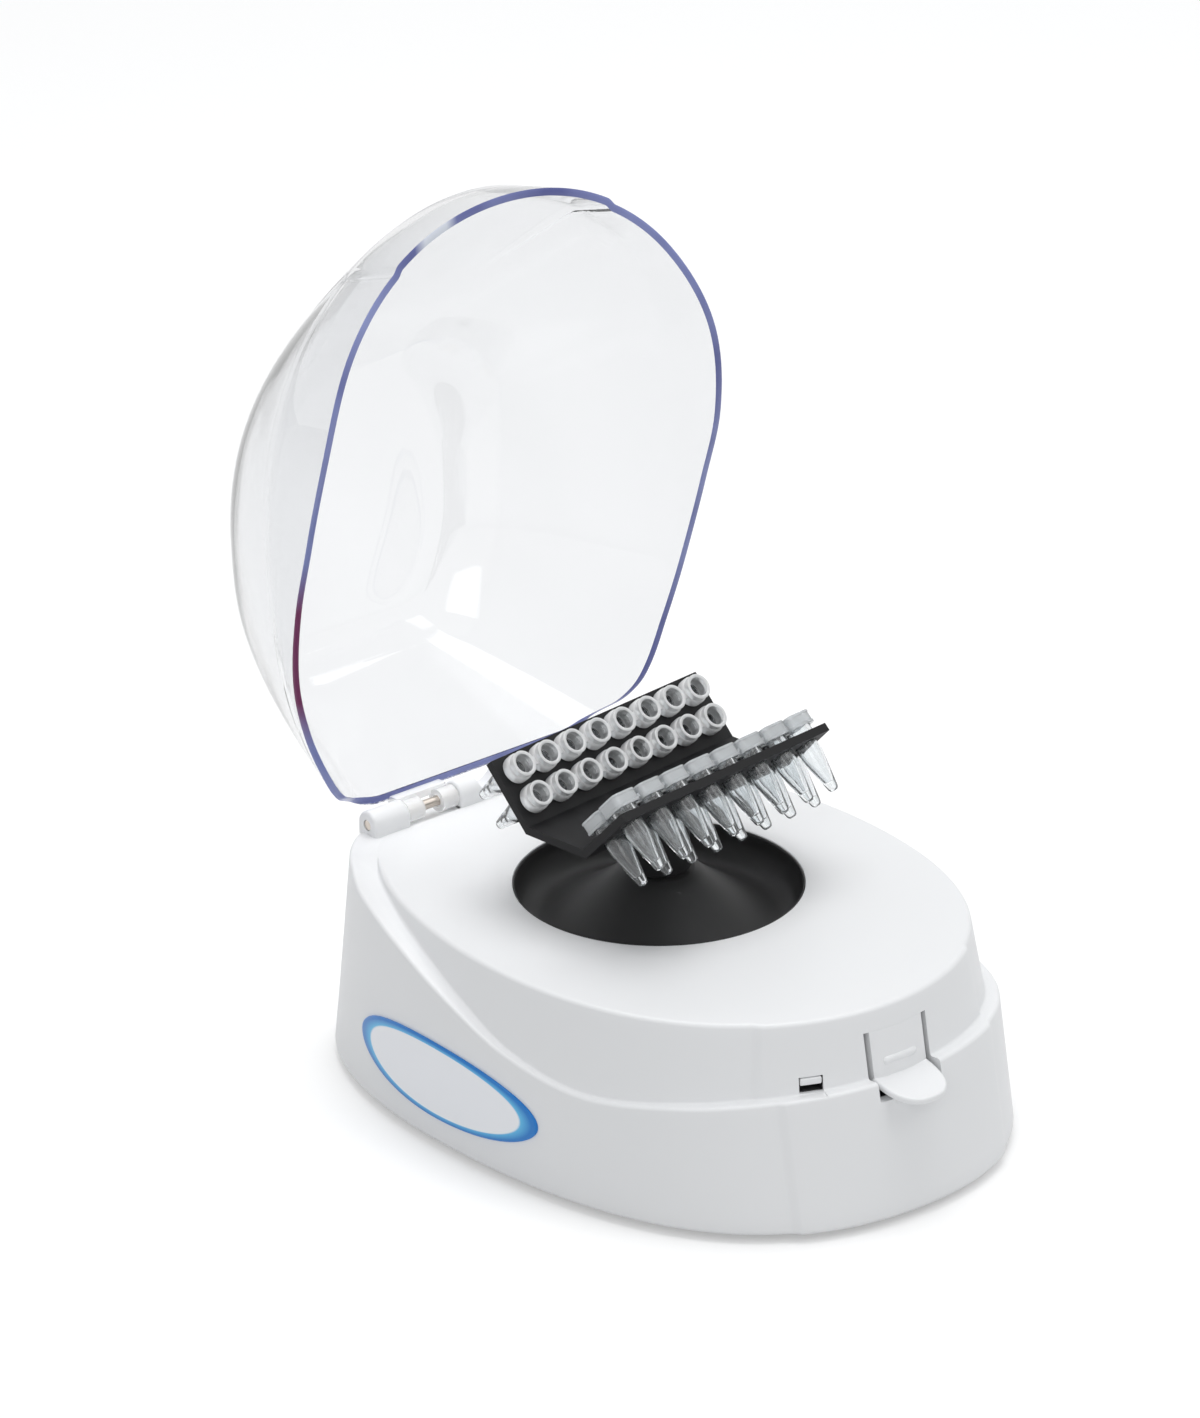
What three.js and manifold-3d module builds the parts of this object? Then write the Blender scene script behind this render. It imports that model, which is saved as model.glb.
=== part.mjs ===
// Mini centrifuge: a teardrop base, a clear hinged lid, a rotor for four strips of eight tubes,
// a flexing latch at the front and a lid switch beside it.
// Millimetres, +Z up. The latch is at the front (-Y), the hinge at the rear, +X to the right.
import * as THREE from 'three';
import { mergeVertices } from 'three/addons/utils/BufferGeometryUtils.js';
import Module from 'manifold-3d';

const wasm = await Module();
wasm.setup();

// Base shell. Heights are above the table, plan sizes are from the spindle axis.
const deckHeight = 54;
const footHeight = 3;
const skirtLift = 2;
const wall = 2.4;
const fitGap = 0.3;
const overrun = 5;

// Deck outline: nose, widest place, rear edge and the handles of the curves between them.
const deckPlan = {
  front: 88, half: 63.2, widest: -8.5, rear: 66.5, rearHalf: 30,
  noseHandle: 27, frontHandle: 60, rearHandle: 36, cornerHandle: 17,
};
// How much each of these sizes grows from the deck to the skirt, at its top and at its foot.
const skirtTopReach = {
  front: 3.5, half: 5.8, widest: 2, rear: 6.5, rearHalf: 2,
  noseHandle: 5, frontHandle: 4, rearHandle: 4, cornerHandle: 3,
};
const skirtFootReach = {
  front: 13, half: 6.8, widest: 11.5, rear: 9.5, rearHalf: 2,
  noseHandle: 12, frontHandle: 20, rearHandle: 8, cornerHandle: 5,
};
const footRound = 1.6;
const noseHalf = 35.3;
const nosePop = 1;
const noseRamp = 2;
const upperDraft = 0.185;
const upperDepth = 26;

// Ledge that the lid closes on: drops below the deck, at shares of the way to the nose or to the rear.
const ledgePlaces = [
  { yShare: -1.307, drop: 16.6 },
  { yShare: -1.045, drop: 17.4 },
  { yShare: -0.795, drop: 20 },
  { yShare: -0.511, drop: 22.2 },
  { yShare: -0.227, drop: 18.1 },
  { yShare: 0, drop: 11.6 },
  { yShare: 0.301, drop: 6 },
  { yShare: 0.571, drop: 2.9 },
  { yShare: 0.797, drop: 1.5 },
  { yShare: 0.887, drop: -1.2 },
  { yShare: 0.962, drop: -6.4 },
  { yShare: 1.353, drop: -7.4 },
];
const lidGap = 0.4;
const wallGap = 0.5;

// Chamber bowl.
const bowlRadius = 36.8;
const bowlDepth = 16;
const bowlWall = 2;
const bowlFlange = 13.2;
const bowlScrewReach = 10.2;
const deckRingWidth = 7.2;
const humpRise = 4;
const humpRadius = 9;
const humpSeat = 1;
const bowlHole = 4;

// Hinge.
const pinY = 69;
const pinLift = 2.4;
const pinRadius = 1.3;
const ridgeRadius = 3.7;
const ridgeHalf = 38.6;
const bracketInner = 10.8;
const bracketWidth = 16;
const bracketNotch = 6;
const saddleHalf = 4.5;
const eyeRadius = 3;
const lidOpenAngle = THREE.MathUtils.degToRad(93.5);

// Lid.
const lidWall = 2;
const lidRise = 56;
const lidStandoff = 2.8;
const lidFlare = 1.6;
const lidCentreY = 20;
const lidSideTaperShare = 0.34;
const lidLengthTaperShare = 0.4;
const lidSidePower = 3.5;
const lidCornerPower = 8;
const lidReachShare = 0.8;
const catchWidth = 12.6;
const catchHeight = 3.4;
const catchDepth = 1;
const catchLift = 2;

// Latch.
const tongueHalf = 8.5;
const slotWidth = 1.6;
const slotHeight = 12;
const latchDip = 4.4;
const tabReach = 12.4;
const tabHalf = 8.9;
const tabThick = 1.8;
const tabDroop = THREE.MathUtils.degToRad(13);
const ridgeLength = 10;
const ridgeThick = 1.6;
const ridgeLift = 3.6;

// Lid switch.
const switchX = -25.2;
const switchWidth = 6.2;
const switchHeight = 4;
const switchTravel = 1.5;
const leverDepth = 6;
const leverRise = 1.8;
const switchBody = { width: 13, depth: 6.5, height: 7 };

// Rotor.
const rotorHeading = THREE.MathUtils.degToRad(6);
const rotorLength = 74;
const floorHalf = 9.4;
const floorLift = 22.4;
const panelThick = 2.2;
const panelSlope = 19;
const panelAngle = THREE.MathUtils.degToRad(47);
const rowFromEdge = 4.5;
const rowSpacing = 8.5;
const hubRadius = 8;
const hubTop = 9.2;
const hubDrop = 17.8;
const shaftRadius = 1.5;

// Tube strips.
const tubePitch = 9;
const tubesPerStrip = 8;
const tubeRadius = 3;
const tubeWallThick = 0.5;
const collarRadius = 3.7;
const collarHeight = 2.6;
const mouthRadius = 3.3;
const mouthHeight = 2;
const tubeLength = 20.5;
const tubeTip = 1.3;
const shoulderShare = 0.275;
const webWidth = 2.4;
const webThick = 1;
const capSize = 8.1;
const capHeight = 2.8;
const capCorner = 1.6;

// Drive.
const motorRadius = 15;
const motorHeight = 14;
const bracketPlate = { width: 62, depth: 44, thick: 2 };
const mountInset = 7;
const mountRadius = 4.5;
const mountHeight = 5;
const mountPost = 5.5;

// Base plate, feet, screws, board and power inlet.
const plateThick = 2.4;
const footRadius = 6;
const footTread = 5.1;
const footPlaces = [[-34, -76], [34, -76], [-40, 56], [40, 56]];
const pillarPlaces = [[-38, -56], [38, -56], [-43, 38], [43, 38]];
const pillarRadius = 4.4;
const screwRadius = 1.4;
const screwHead = 2.8;
const screwHeadHigh = 1.5;
const screwLength = 9;
const bowlScrewHead = 1.8;
const board = { width: 44, depth: 18, thick: 1.6, y: 55, lift: 3, postX: 17.6, postRadius: 3.2 };
const jack = { x: 18, z: 18, flange: 5.6, barrel: 4, bore: 2.7, pin: 1, proud: 1.4, depth: 11, boreDepth: 9 };

// Side label.
const labelHalfLength = 36;
const labelHalfHeight = 10.2;
const labelY = 3;
const labelDrop = 34.6;
const labelThick = 0.5;

// Places that follow from the sizes above.
const skirtTopPlan = widened(deckPlan, skirtTopReach);
const skirtFootPlan = widened(deckPlan, skirtFootReach);
const ledgeLine = ledgePlaces.map(({ yShare, drop }) => (
  { y: yShare * (yShare < 0 ? deckPlan.front : deckPlan.rear), drop }
));
const pinZ = deckHeight + pinLift;
const noseLedgeZ = deckHeight - dropAt(-deckPlan.front);
const slotTopZ = noseLedgeZ + slotHeight;
const plateZ = footHeight;
const plateTopZ = plateZ + plateThick;
const bowlTopZ = deckHeight - wall;
const deckRingRadius = bowlRadius + deckRingWidth;
const bowlScrewRadius = bowlRadius + bowlScrewReach;
const bowlBottomZ = deckHeight - bowlDepth;
const humpZ = deckHeight + humpRise;
const bracketZ = bowlBottomZ - bowlWall - bracketPlate.thick - fitGap * 2;
const mountPlace = { x: bracketPlate.width / 2 - mountInset, y: bracketPlate.depth / 2 - mountInset };
const motorZ = bracketZ - motorHeight;
const floorZ = deckHeight + floorLift;
const hugeSpan = 4 * skirtFootPlan.front;

// Colours and finishes.
const shellWhite = new THREE.MeshStandardMaterial({ color: 0xd9dcdb, roughness: 0.45, metalness: 0 });
const bowlBlack = new THREE.MeshStandardMaterial({ color: 0x17181a, roughness: 0.3, metalness: 0 });
const rotorBlack = new THREE.MeshStandardMaterial({ color: 0x2b2b2e, roughness: 0.55, metalness: 0 });
const clearLid = new THREE.MeshStandardMaterial({
  color: 0xe9ecf2, roughness: 0.08, metalness: 0, transparent: true, opacity: 0.25,
});
const tubeClear = new THREE.MeshStandardMaterial({
  color: 0xdfe3e4, roughness: 0.2, metalness: 0, transparent: true, opacity: 0.6,
});
const capGrey = new THREE.MeshStandardMaterial({
  color: 0xcdd1d4, roughness: 0.3, metalness: 0, transparent: true, opacity: 0.8,
});
const steel = new THREE.MeshStandardMaterial({ color: 0xb8b8b4, roughness: 0.3, metalness: 1 });
const rubber = new THREE.MeshStandardMaterial({ color: 0x242424, roughness: 0.85, metalness: 0 });
const boardGreen = new THREE.MeshStandardMaterial({ color: 0x2c6a45, roughness: 0.5, metalness: 0 });
const labelWhite = new THREE.MeshStandardMaterial({ color: 0xdfe2e8, roughness: 0.4, metalness: 0 });
const plasticDark = new THREE.MeshStandardMaterial({ color: 0x303236, roughness: 0.5, metalness: 0 });

// Joining and cutting.
function solidOf(geometry) {
  const plain = geometry.clone();
  plain.deleteAttribute('normal');
  plain.deleteAttribute('uv');
  const merged = mergeVertices(plain, 1e-4);
  return new wasm.Manifold(new wasm.Mesh({
    numProp: 3,
    vertProperties: new Float32Array(merged.attributes.position.array),
    triVerts: new Uint32Array(merged.index.array),
  }));
}

function geometryOf(solid) {
  const mesh = solid.getMesh();
  const geometry = new THREE.BufferGeometry();
  geometry.setAttribute('position', new THREE.BufferAttribute(new Float32Array(mesh.vertProperties), 3));
  geometry.setIndex(new THREE.BufferAttribute(new Uint32Array(mesh.triVerts), 1));
  const flat = geometry.toNonIndexed();
  flat.computeVertexNormals();
  return flat;
}

function node(name, solid, material, parent) {
  const mesh = new THREE.Mesh(geometryOf(solid), material);
  mesh.name = name;
  parent.add(mesh);
  return mesh;
}

function joined(solids) {
  return solids.reduce((sum, solid) => sum.add(solid));
}

// Primitive solids, each named by its corners or ends.
function block(x0, x1, y0, y1, z0, z1) {
  const geometry = new THREE.BoxGeometry(x1 - x0, y1 - y0, z1 - z0);
  geometry.translate((x0 + x1) / 2, (y0 + y1) / 2, (z0 + z1) / 2);
  return solidOf(geometry);
}

function post(x, y, z0, z1, radius, sides = 20, topRadius = radius) {
  const geometry = new THREE.CylinderGeometry(topRadius, radius, z1 - z0, sides);
  geometry.rotateX(Math.PI / 2);
  geometry.translate(x, y, (z0 + z1) / 2);
  return solidOf(geometry);
}

function rodX(x0, x1, y, z, radius, sides = 24) {
  const geometry = new THREE.CylinderGeometry(radius, radius, x1 - x0, sides);
  geometry.rotateZ(Math.PI / 2);
  geometry.translate((x0 + x1) / 2, y, z);
  return solidOf(geometry);
}

function rodY(x, y0, y1, z, radius, sides = 24) {
  const geometry = new THREE.CylinderGeometry(radius, radius, y1 - y0, sides);
  geometry.translate(x, (y0 + y1) / 2, z);
  return solidOf(geometry);
}

function revolved(points, sides) {
  const profile = points.map(([r, z]) => new THREE.Vector2(r, z));
  const geometry = new THREE.LatheGeometry([...profile, profile[0].clone()], sides);
  geometry.rotateX(Math.PI / 2);
  return solidOf(geometry);
}

// A stack of level rings with the same number of points, closed by flat ends.
function loft(rings) {
  const count = rings[0].points.length;
  const positions = [];
  for (const ring of rings) {
    for (const point of ring.points) positions.push(point.x, point.y, ring.z);
  }
  const index = [];
  for (let level = 0; level + 1 < rings.length; level += 1) {
    for (let i = 0; i < count; i += 1) {
      const a = level * count + i;
      const b = level * count + (i + 1) % count;
      index.push(a, b, a + count, b, b + count, a + count);
    }
  }
  const last = (rings.length - 1) * count;
  for (const [a, b, c] of THREE.ShapeUtils.triangulateShape(rings[0].points, [])) index.push(c, b, a);
  for (const [a, b, c] of THREE.ShapeUtils.triangulateShape(rings[rings.length - 1].points, [])) {
    index.push(last + a, last + b, last + c);
  }
  const geometry = new THREE.BufferGeometry();
  geometry.setAttribute('position', new THREE.Float32BufferAttribute(positions, 3));
  geometry.setIndex(index);
  return solidOf(geometry);
}

// Plan outlines.
function widened(plan, reach) {
  const wider = {};
  for (const key of Object.keys(plan)) wider[key] = plan[key] + reach[key];
  return wider;
}

function blendPlans(a, b, share) {
  const plan = {};
  for (const key of Object.keys(a)) plan[key] = THREE.MathUtils.lerp(a[key], b[key], share);
  return plan;
}

function shareAtX(curve, x) {
  let low = 0;
  let high = 1;
  for (let i = 0; i < 40; i += 1) {
    const middle = (low + high) / 2;
    if (curve.getPoint(middle).x < x) low = middle;
    else high = middle;
  }
  return low;
}

// Half an outline from the nose to the rear corner, mirrored; the nose stands proud of the flanks.
function planPoints(plan, noseSteps = 4, flankSteps = 7, tailSteps = 10) {
  const nose = new THREE.CubicBezierCurve(
    new THREE.Vector2(0, -plan.front),
    new THREE.Vector2(plan.noseHandle, -plan.front),
    new THREE.Vector2(plan.half, plan.widest - plan.frontHandle),
    new THREE.Vector2(plan.half, plan.widest),
  );
  const tail = new THREE.CubicBezierCurve(
    new THREE.Vector2(plan.half, plan.widest),
    new THREE.Vector2(plan.half, plan.widest + plan.rearHandle),
    new THREE.Vector2(plan.rearHalf + plan.cornerHandle, plan.rear),
    new THREE.Vector2(plan.rearHalf, plan.rear),
  );
  const rampEnd = shareAtX(nose, noseHalf);
  const rampStart = shareAtX(nose, noseHalf - noseRamp);
  const half = [];
  for (let i = 0; i <= noseSteps; i += 1) {
    const point = nose.getPoint(rampStart * i / noseSteps);
    half.push(new THREE.Vector2(point.x, point.y - nosePop));
  }
  for (let i = 0; i < flankSteps; i += 1) half.push(nose.getPoint(rampEnd + (1 - rampEnd) * i / flankSteps));
  for (let i = 0; i <= tailSteps; i += 1) half.push(tail.getPoint(i / tailSteps));
  const mirrored = half.slice(1).reverse().map((point) => new THREE.Vector2(-point.x, point.y));
  return [...half, ...mirrored];
}

// The outline moved outwards along its own normals.
function grown(points, distance) {
  return points.map((point, i) => {
    const before = points[(i + points.length - 1) % points.length];
    const after = points[(i + 1) % points.length];
    const normal = new THREE.Vector2(after.y - before.y, before.x - after.x).normalize();
    return point.clone().addScaledVector(normal, distance);
  });
}

// Ledge height along the depth, as a smooth line through its named places.
function dropAt(y) {
  let i = 0;
  while (i < ledgeLine.length - 2 && y > ledgeLine[i + 1].y) i += 1;
  const [a, b, c, d] = [i - 1, i, i + 1, i + 2].map(
    (k) => ledgeLine[THREE.MathUtils.clamp(k, 0, ledgeLine.length - 1)],
  );
  const t = THREE.MathUtils.clamp((y - b.y) / (c.y - b.y), 0, 1);
  const leave = c === a ? 0 : (c.drop - a.drop) / (c.y - a.y) * (c.y - b.y);
  const arrive = d === b ? 0 : (d.drop - b.drop) / (d.y - b.y) * (c.y - b.y);
  const t2 = t * t;
  const t3 = t2 * t;
  return (2 * t3 - 3 * t2 + 1) * b.drop + (t3 - 2 * t2 + t) * leave
    + (3 * t2 - 2 * t3) * c.drop + (t3 - t2) * arrive;
}

// Everything above the ledge line, moved up by a rise: a side profile run across the whole width.
function aboveLedge(rise) {
  const first = ledgeLine[0].y;
  const last = ledgeLine[ledgeLine.length - 1].y;
  const steps = 24;
  const profile = new THREE.Shape();
  profile.moveTo(first - hugeSpan, deckHeight + hugeSpan);
  profile.lineTo(first - hugeSpan, deckHeight - dropAt(first) + rise);
  for (let i = 0; i <= steps; i += 1) {
    const y = first + (last - first) * i / steps;
    profile.lineTo(y, deckHeight - dropAt(y) + rise);
  }
  profile.lineTo(last + hugeSpan, deckHeight - dropAt(last) + rise);
  profile.lineTo(last + hugeSpan, deckHeight + hugeSpan);
  const geometry = new THREE.ExtrudeGeometry(profile, { depth: hugeSpan, bevelEnabled: false, steps: 1 });
  geometry.translate(0, 0, -hugeSpan / 2);
  geometry.rotateX(Math.PI / 2);
  geometry.rotateZ(Math.PI / 2);
  return solidOf(geometry);
}

// Skirt: the outer wall from the foot to the deck level, moved outwards by a distance.
function skirtPoints(z, distance) {
  const share = (deckHeight - z) / (deckHeight - skirtLift);
  return grown(planPoints(blendPlans(skirtTopPlan, skirtFootPlan, share)), distance);
}

function skirt(z0, z1, distance, round = 0) {
  const levels = [z0, z0 + footRound, z1];
  return loft(levels.map((z, i) => ({ z, points: skirtPoints(z, distance - (i === 0 ? round : 0)) })));
}

// Upper wall: leans in to the deck edge by its draft.
function upperWall(z0, z1, distance) {
  const outline = planPoints(deckPlan);
  return loft([z0, z1].map((z) => ({ z, points: grown(outline, (deckHeight - z) * upperDraft + distance) })));
}

const model = new THREE.Group();
const ledgeCut = aboveLedge(0);

// Housing: skirt below the ledge, upper wall above it, one open hollow inside.
function shellBetween() {
  const low = skirt(skirtLift, deckHeight, 0, footRound).subtract(ledgeCut);
  const high = upperWall(deckHeight - upperDepth, deckHeight, 0);
  const outside = low.add(high.intersect(skirt(skirtLift, deckHeight, 0)));
  const innerTop = deckHeight - wall;
  const lowHollow = skirt(skirtLift - overrun, innerTop, -wall).subtract(aboveLedge(-wall));
  const highHollow = upperWall(deckHeight - upperDepth - overrun, innerTop, -wall);
  const hollow = lowHollow.add(highHollow.intersect(skirt(skirtLift - overrun, innerTop, -wall)));
  return { outside, hollow };
}

// Hinge ridge along the rear of the deck: a barrel on a low plinth, cut for the lid brackets.
function hingeRidge() {
  const barrel = rodX(-ridgeHalf, ridgeHalf, pinY, pinZ, ridgeRadius, 24);
  const plinth = block(
    -ridgeHalf, ridgeHalf, pinY - ridgeRadius, pinY + ridgeRadius, deckHeight - wall, pinZ,
  );
  const saddle = rodY(0, pinY - 2 * ridgeRadius, pinY + 2 * ridgeRadius, pinZ + ridgeRadius, saddleHalf);
  return barrel.add(plinth).subtract(saddle);
}

function bracketPockets() {
  const pockets = [-1, 1].map((side) => {
    const a = side * (bracketInner - fitGap);
    const b = side * (bracketInner + bracketWidth + fitGap);
    return block(
      Math.min(a, b), Math.max(a, b), pinY - eyeRadius - 2 * fitGap, pinY + 2 * ridgeRadius,
      pinZ - eyeRadius - 2 * fitGap, pinZ + 2 * ridgeRadius,
    );
  });
  return joined(pockets);
}

function pinBores(radius) {
  const bores = [-1, 1].map((side) => {
    const a = side * (bracketInner - saddleHalf);
    const b = side * (ridgeHalf + overrun);
    return rodX(Math.min(a, b), Math.max(a, b), pinY, pinZ, radius, 20);
  });
  return joined(bores);
}

// Lid switch: a small slider in a window of the upper wall, square to the wall there.
function switchFrame() {
  const z = noseLedgeZ + switchHeight / 2;
  const outline = grown(planPoints(deckPlan), (deckHeight - z) * upperDraft);
  const i = outline.findIndex((p, k) => {
    const next = outline[(k + 1) % outline.length];
    return p.y < 0 && Math.min(p.x, next.x) <= switchX && Math.max(p.x, next.x) >= switchX;
  });
  const a = outline[i];
  const b = outline[(i + 1) % outline.length];
  const place = a.clone().lerp(b, (switchX - a.x) / (b.x - a.x));
  const along = b.clone().sub(a).normalize();
  return { place, heading: Math.atan2(along.y, along.x), z };
}
const lidSwitch = switchFrame();

// A block given in the switch's own frame: across the wall, outwards (negative) to inwards, and up.
function switchBlock(x0, x1, y0, y1, z0, z1) {
  const geometry = new THREE.BoxGeometry(x1 - x0, y1 - y0, z1 - z0);
  geometry.translate((x0 + x1) / 2, (y0 + y1) / 2, (z0 + z1) / 2);
  geometry.rotateZ(lidSwitch.heading);
  geometry.translate(lidSwitch.place.x, lidSwitch.place.y, noseLedgeZ);
  return solidOf(geometry);
}

const { outside: shellOutside, hollow: shellHollow } = shellBetween();
const frontSpan = { y0: -skirtFootPlan.front - overrun, y1: -deckPlan.front + 2 * wall };

function buildHousing() {
  let housing = shellOutside.subtract(shellHollow);
  const pillars = pillarPlaces.map(([x, y]) => post(x, y, plateTopZ, deckHeight - wall / 2, pillarRadius, 12));
  housing = housing.add(joined(pillars).intersect(shellOutside));
  housing = housing.add(hingeRidge()).subtract(bracketPockets());
  housing = housing.subtract(post(0, 0, bowlTopZ - overrun, deckHeight + overrun, deckRingRadius, 60));
  housing = housing.subtract(pinBores(pinRadius + fitGap / 2));
  housing = housing.subtract(block(
    -tongueHalf - slotWidth, tongueHalf + slotWidth, frontSpan.y0, frontSpan.y1,
    noseLedgeZ - latchDip, slotTopZ,
  ));
  housing = housing.subtract(switchBlock(
    -switchWidth / 2, switchWidth / 2, -overrun, overrun, 0, switchHeight,
  ));
  for (const [x, y] of pillarPlaces) {
    housing = housing.subtract(post(x, y, plateTopZ - overrun, plateTopZ + screwLength, screwRadius + fitGap, 8));
  }
  for (const [x, y] of bowlScrewPlaces()) {
    housing = housing.subtract(post(x, y, bowlTopZ - overrun, bowlTopZ + wall / 2, screwRadius / 2 + fitGap, 8));
  }
  const rear = skirtRearAt(jack.z);
  return housing.subtract(rodY(jack.x, rear - 3 * wall, rear + overrun, jack.z, jack.barrel + fitGap));
}

function skirtRearAt(z) {
  return Math.max(...skirtPoints(z, 0).map((point) => point.y));
}

function bowlScrewPlaces() {
  return [90, 210, 330].map((degrees) => {
    const angle = THREE.MathUtils.degToRad(degrees);
    return [bowlScrewRadius * Math.cos(angle), bowlScrewRadius * Math.sin(angle)];
  });
}

// Deck ring: the rim of the bowl's mouth. It lies on the bowl's flange, flush with the deck.
function buildDeckRing() {
  return post(0, 0, bowlTopZ, deckHeight, deckRingRadius - fitGap, 60)
    .subtract(post(0, 0, bowlTopZ - overrun, deckHeight + overrun, bowlRadius, 60));
}

// Latch: a tongue of the upper wall between two slots, with a thumb tab and a catch ridge.
function buildLatch() {
  const band = upperWall(deckHeight - upperDepth, deckHeight, 0)
    .subtract(upperWall(deckHeight - upperDepth - overrun, deckHeight + overrun, -wall));
  const tongue = band.intersect(block(
    -tongueHalf, tongueHalf, frontSpan.y0, frontSpan.y1, noseLedgeZ - latchDip / 2, slotTopZ - fitGap,
  ));
  const rootY = -deckPlan.front - nosePop - (deckHeight - noseLedgeZ) * upperDraft;
  const outline = new THREE.Shape();
  const edge = tabThick / 4;
  outline.moveTo(-tabHalf + edge, wall / 2);
  outline.absellipse(0, 0, tabHalf - edge, tabReach - edge, Math.PI, 2 * Math.PI, false, 0);
  outline.lineTo(tabHalf - edge, wall / 2);
  const tab = new THREE.ExtrudeGeometry(outline, {
    depth: tabThick - 2 * edge, bevelThickness: edge, bevelSize: edge, bevelSegments: 1, curveSegments: 18,
  });
  tab.translate(0, 0, -tabThick + edge);
  tab.rotateX(tabDroop);
  tab.translate(0, rootY, noseLedgeZ);
  const ridgeY = -deckPlan.front - nosePop - (deckHeight - noseLedgeZ - ridgeLift) * upperDraft;
  const ridge = rodX(-ridgeLength / 2, ridgeLength / 2, ridgeY, noseLedgeZ + ridgeLift, ridgeThick / 2, 12);
  const clear = block(
    -2 * tabHalf, 2 * tabHalf, rootY + wall, rootY + 4 * wall, noseLedgeZ - slotHeight, slotTopZ,
  );
  return tongue.add(solidOf(tab).subtract(clear)).add(ridge.subtract(clear));
}

// Lid: the dome above the ledge, open below, with a bracket and eye at each hinge gap.
function lidFoot() {
  const outline = planPoints(deckPlan);
  const near = grown(outline, lidStandoff);
  const far = grown(outline, lidStandoff + lidFlare);
  return near.map((point, i) => {
    const back = THREE.MathUtils.smoothstep(point.y, deckPlan.widest, deckPlan.widest + deckPlan.rearHandle);
    const side = THREE.MathUtils.smoothstep(Math.abs(point.x), deckPlan.rearHalf, deckPlan.rearHalf + deckPlan.cornerHandle);
    return point.clone().lerp(far[i], back * side);
  });
}

// Below the deck level the lid runs out from its standoff at the deck to the skirt.
function lidSkirt(share) {
  const inner = lidFoot();
  const outer = skirtPoints(deckHeight - upperDepth * lidReachShare, 0);
  return inner.map((point, i) => point.clone().lerp(outer[i], Math.min(share / lidReachShare, 1)));
}

function domePoints(z, inset) {
  const outline = z < deckHeight ? lidSkirt((deckHeight - z) / upperDepth) : lidFoot();
  const height = Math.max(z - deckHeight, 0) / (lidRise - inset);
  const rounding = Math.pow(1 - Math.pow(height, lidSidePower), 1 / lidCornerPower);
  const across = (1 - lidSideTaperShare * height) * rounding;
  const along = (1 - lidLengthTaperShare * height) * rounding;
  return grown(outline, -inset).map((point) => new THREE.Vector2(
    point.x * across,
    lidCentreY + (point.y - lidCentreY) * along,
  ));
}

function dome(inset) {
  const lowest = deckHeight - upperDepth;
  const riseShares = [0, 0.3, 0.55, 0.75, 0.87, 0.94, 0.98, 0.996];
  const top = lidRise - inset;
  const rings = [lowest, ...riseShares.map((share) => deckHeight + top * share)];
  return loft(rings.map((z) => ({ z, points: domePoints(z, inset) })));
}

function buildLid() {
  const room = aboveLedge(lidGap);
  const clearOfWall = upperWall(deckHeight - 2 * upperDepth, deckHeight + lidGap, wallGap);
  let lid = dome(0).intersect(room).subtract(dome(lidWall)).subtract(clearOfWall);
  const rimY = -deckPlan.front - nosePop;
  lid = lid.subtract(block(
    -catchWidth / 2, catchWidth / 2,
    rimY - (deckHeight - noseLedgeZ) * upperDraft - catchDepth, rimY + overrun,
    noseLedgeZ + catchLift, noseLedgeZ + catchLift + catchHeight,
  ));
  for (const side of [-1, 1]) {
    const a = side * bracketInner;
    const b = side * (bracketInner + bracketWidth);
    const x0 = Math.min(a, b);
    const x1 = Math.max(a, b);
    const eye = rodX(x0, x1, pinY, pinZ, eyeRadius, 24);
    const web = block(x0, x1, pinY - eyeRadius, pinY - eyeRadius + lidWall, pinZ, pinZ + 2 * ridgeRadius + lidWall);
    const bracket = eye.add(web.subtract(dome(lidWall / 2)));
    lid = lid.add(bracket);
    const middle = (x0 + x1) / 2;
    lid = lid.subtract(block(
      middle - bracketNotch / 2, middle + bracketNotch / 2, pinY - 2 * eyeRadius, pinY + 2 * eyeRadius,
      pinZ - 2 * eyeRadius, pinZ + pinRadius + fitGap,
    ));
  }
  return lid.subtract(pinBores(pinRadius + fitGap));
}

// Bowl: a ring-shaped channel hung by its flange under the deck. A hump on its floor surrounds the spindle.
const channelShares = [[0.985, 0.42], [0.9, 0.86], [0.78, 1]];
const humpShares = [[0.72, 0.28], [0.4, 0.62], [0.14, 0.88], [0, 1]];
const humpFootShare = 0.64;

function buildBowl() {
  const inside = channelShares.map(([r, drop]) => [r * bowlRadius, bowlTopZ + (bowlBottomZ - bowlTopZ) * drop]);
  const holeRadius = humpFootShare * bowlRadius - 2 * bowlWall;
  const bowl = revolved([
    [bowlRadius, bowlTopZ],
    ...inside,
    [holeRadius, bowlBottomZ],
    [holeRadius, bowlBottomZ - bowlWall],
    [inside[2][0], bowlBottomZ - bowlWall],
    [inside[1][0] + bowlWall, inside[1][1] - bowlWall],
    [bowlRadius + bowlWall, bowlTopZ - bowlWall],
    [bowlRadius + bowlFlange, bowlTopZ - bowlWall],
    [bowlRadius + bowlFlange, bowlTopZ],
  ], 36);
  const holes = bowlScrewPlaces().map(([x, y]) => post(
    x, y, bowlTopZ - overrun, bowlTopZ + overrun, screwRadius / 2 + fitGap, 8,
  ));
  return bowl.subtract(joined(holes));
}

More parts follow.
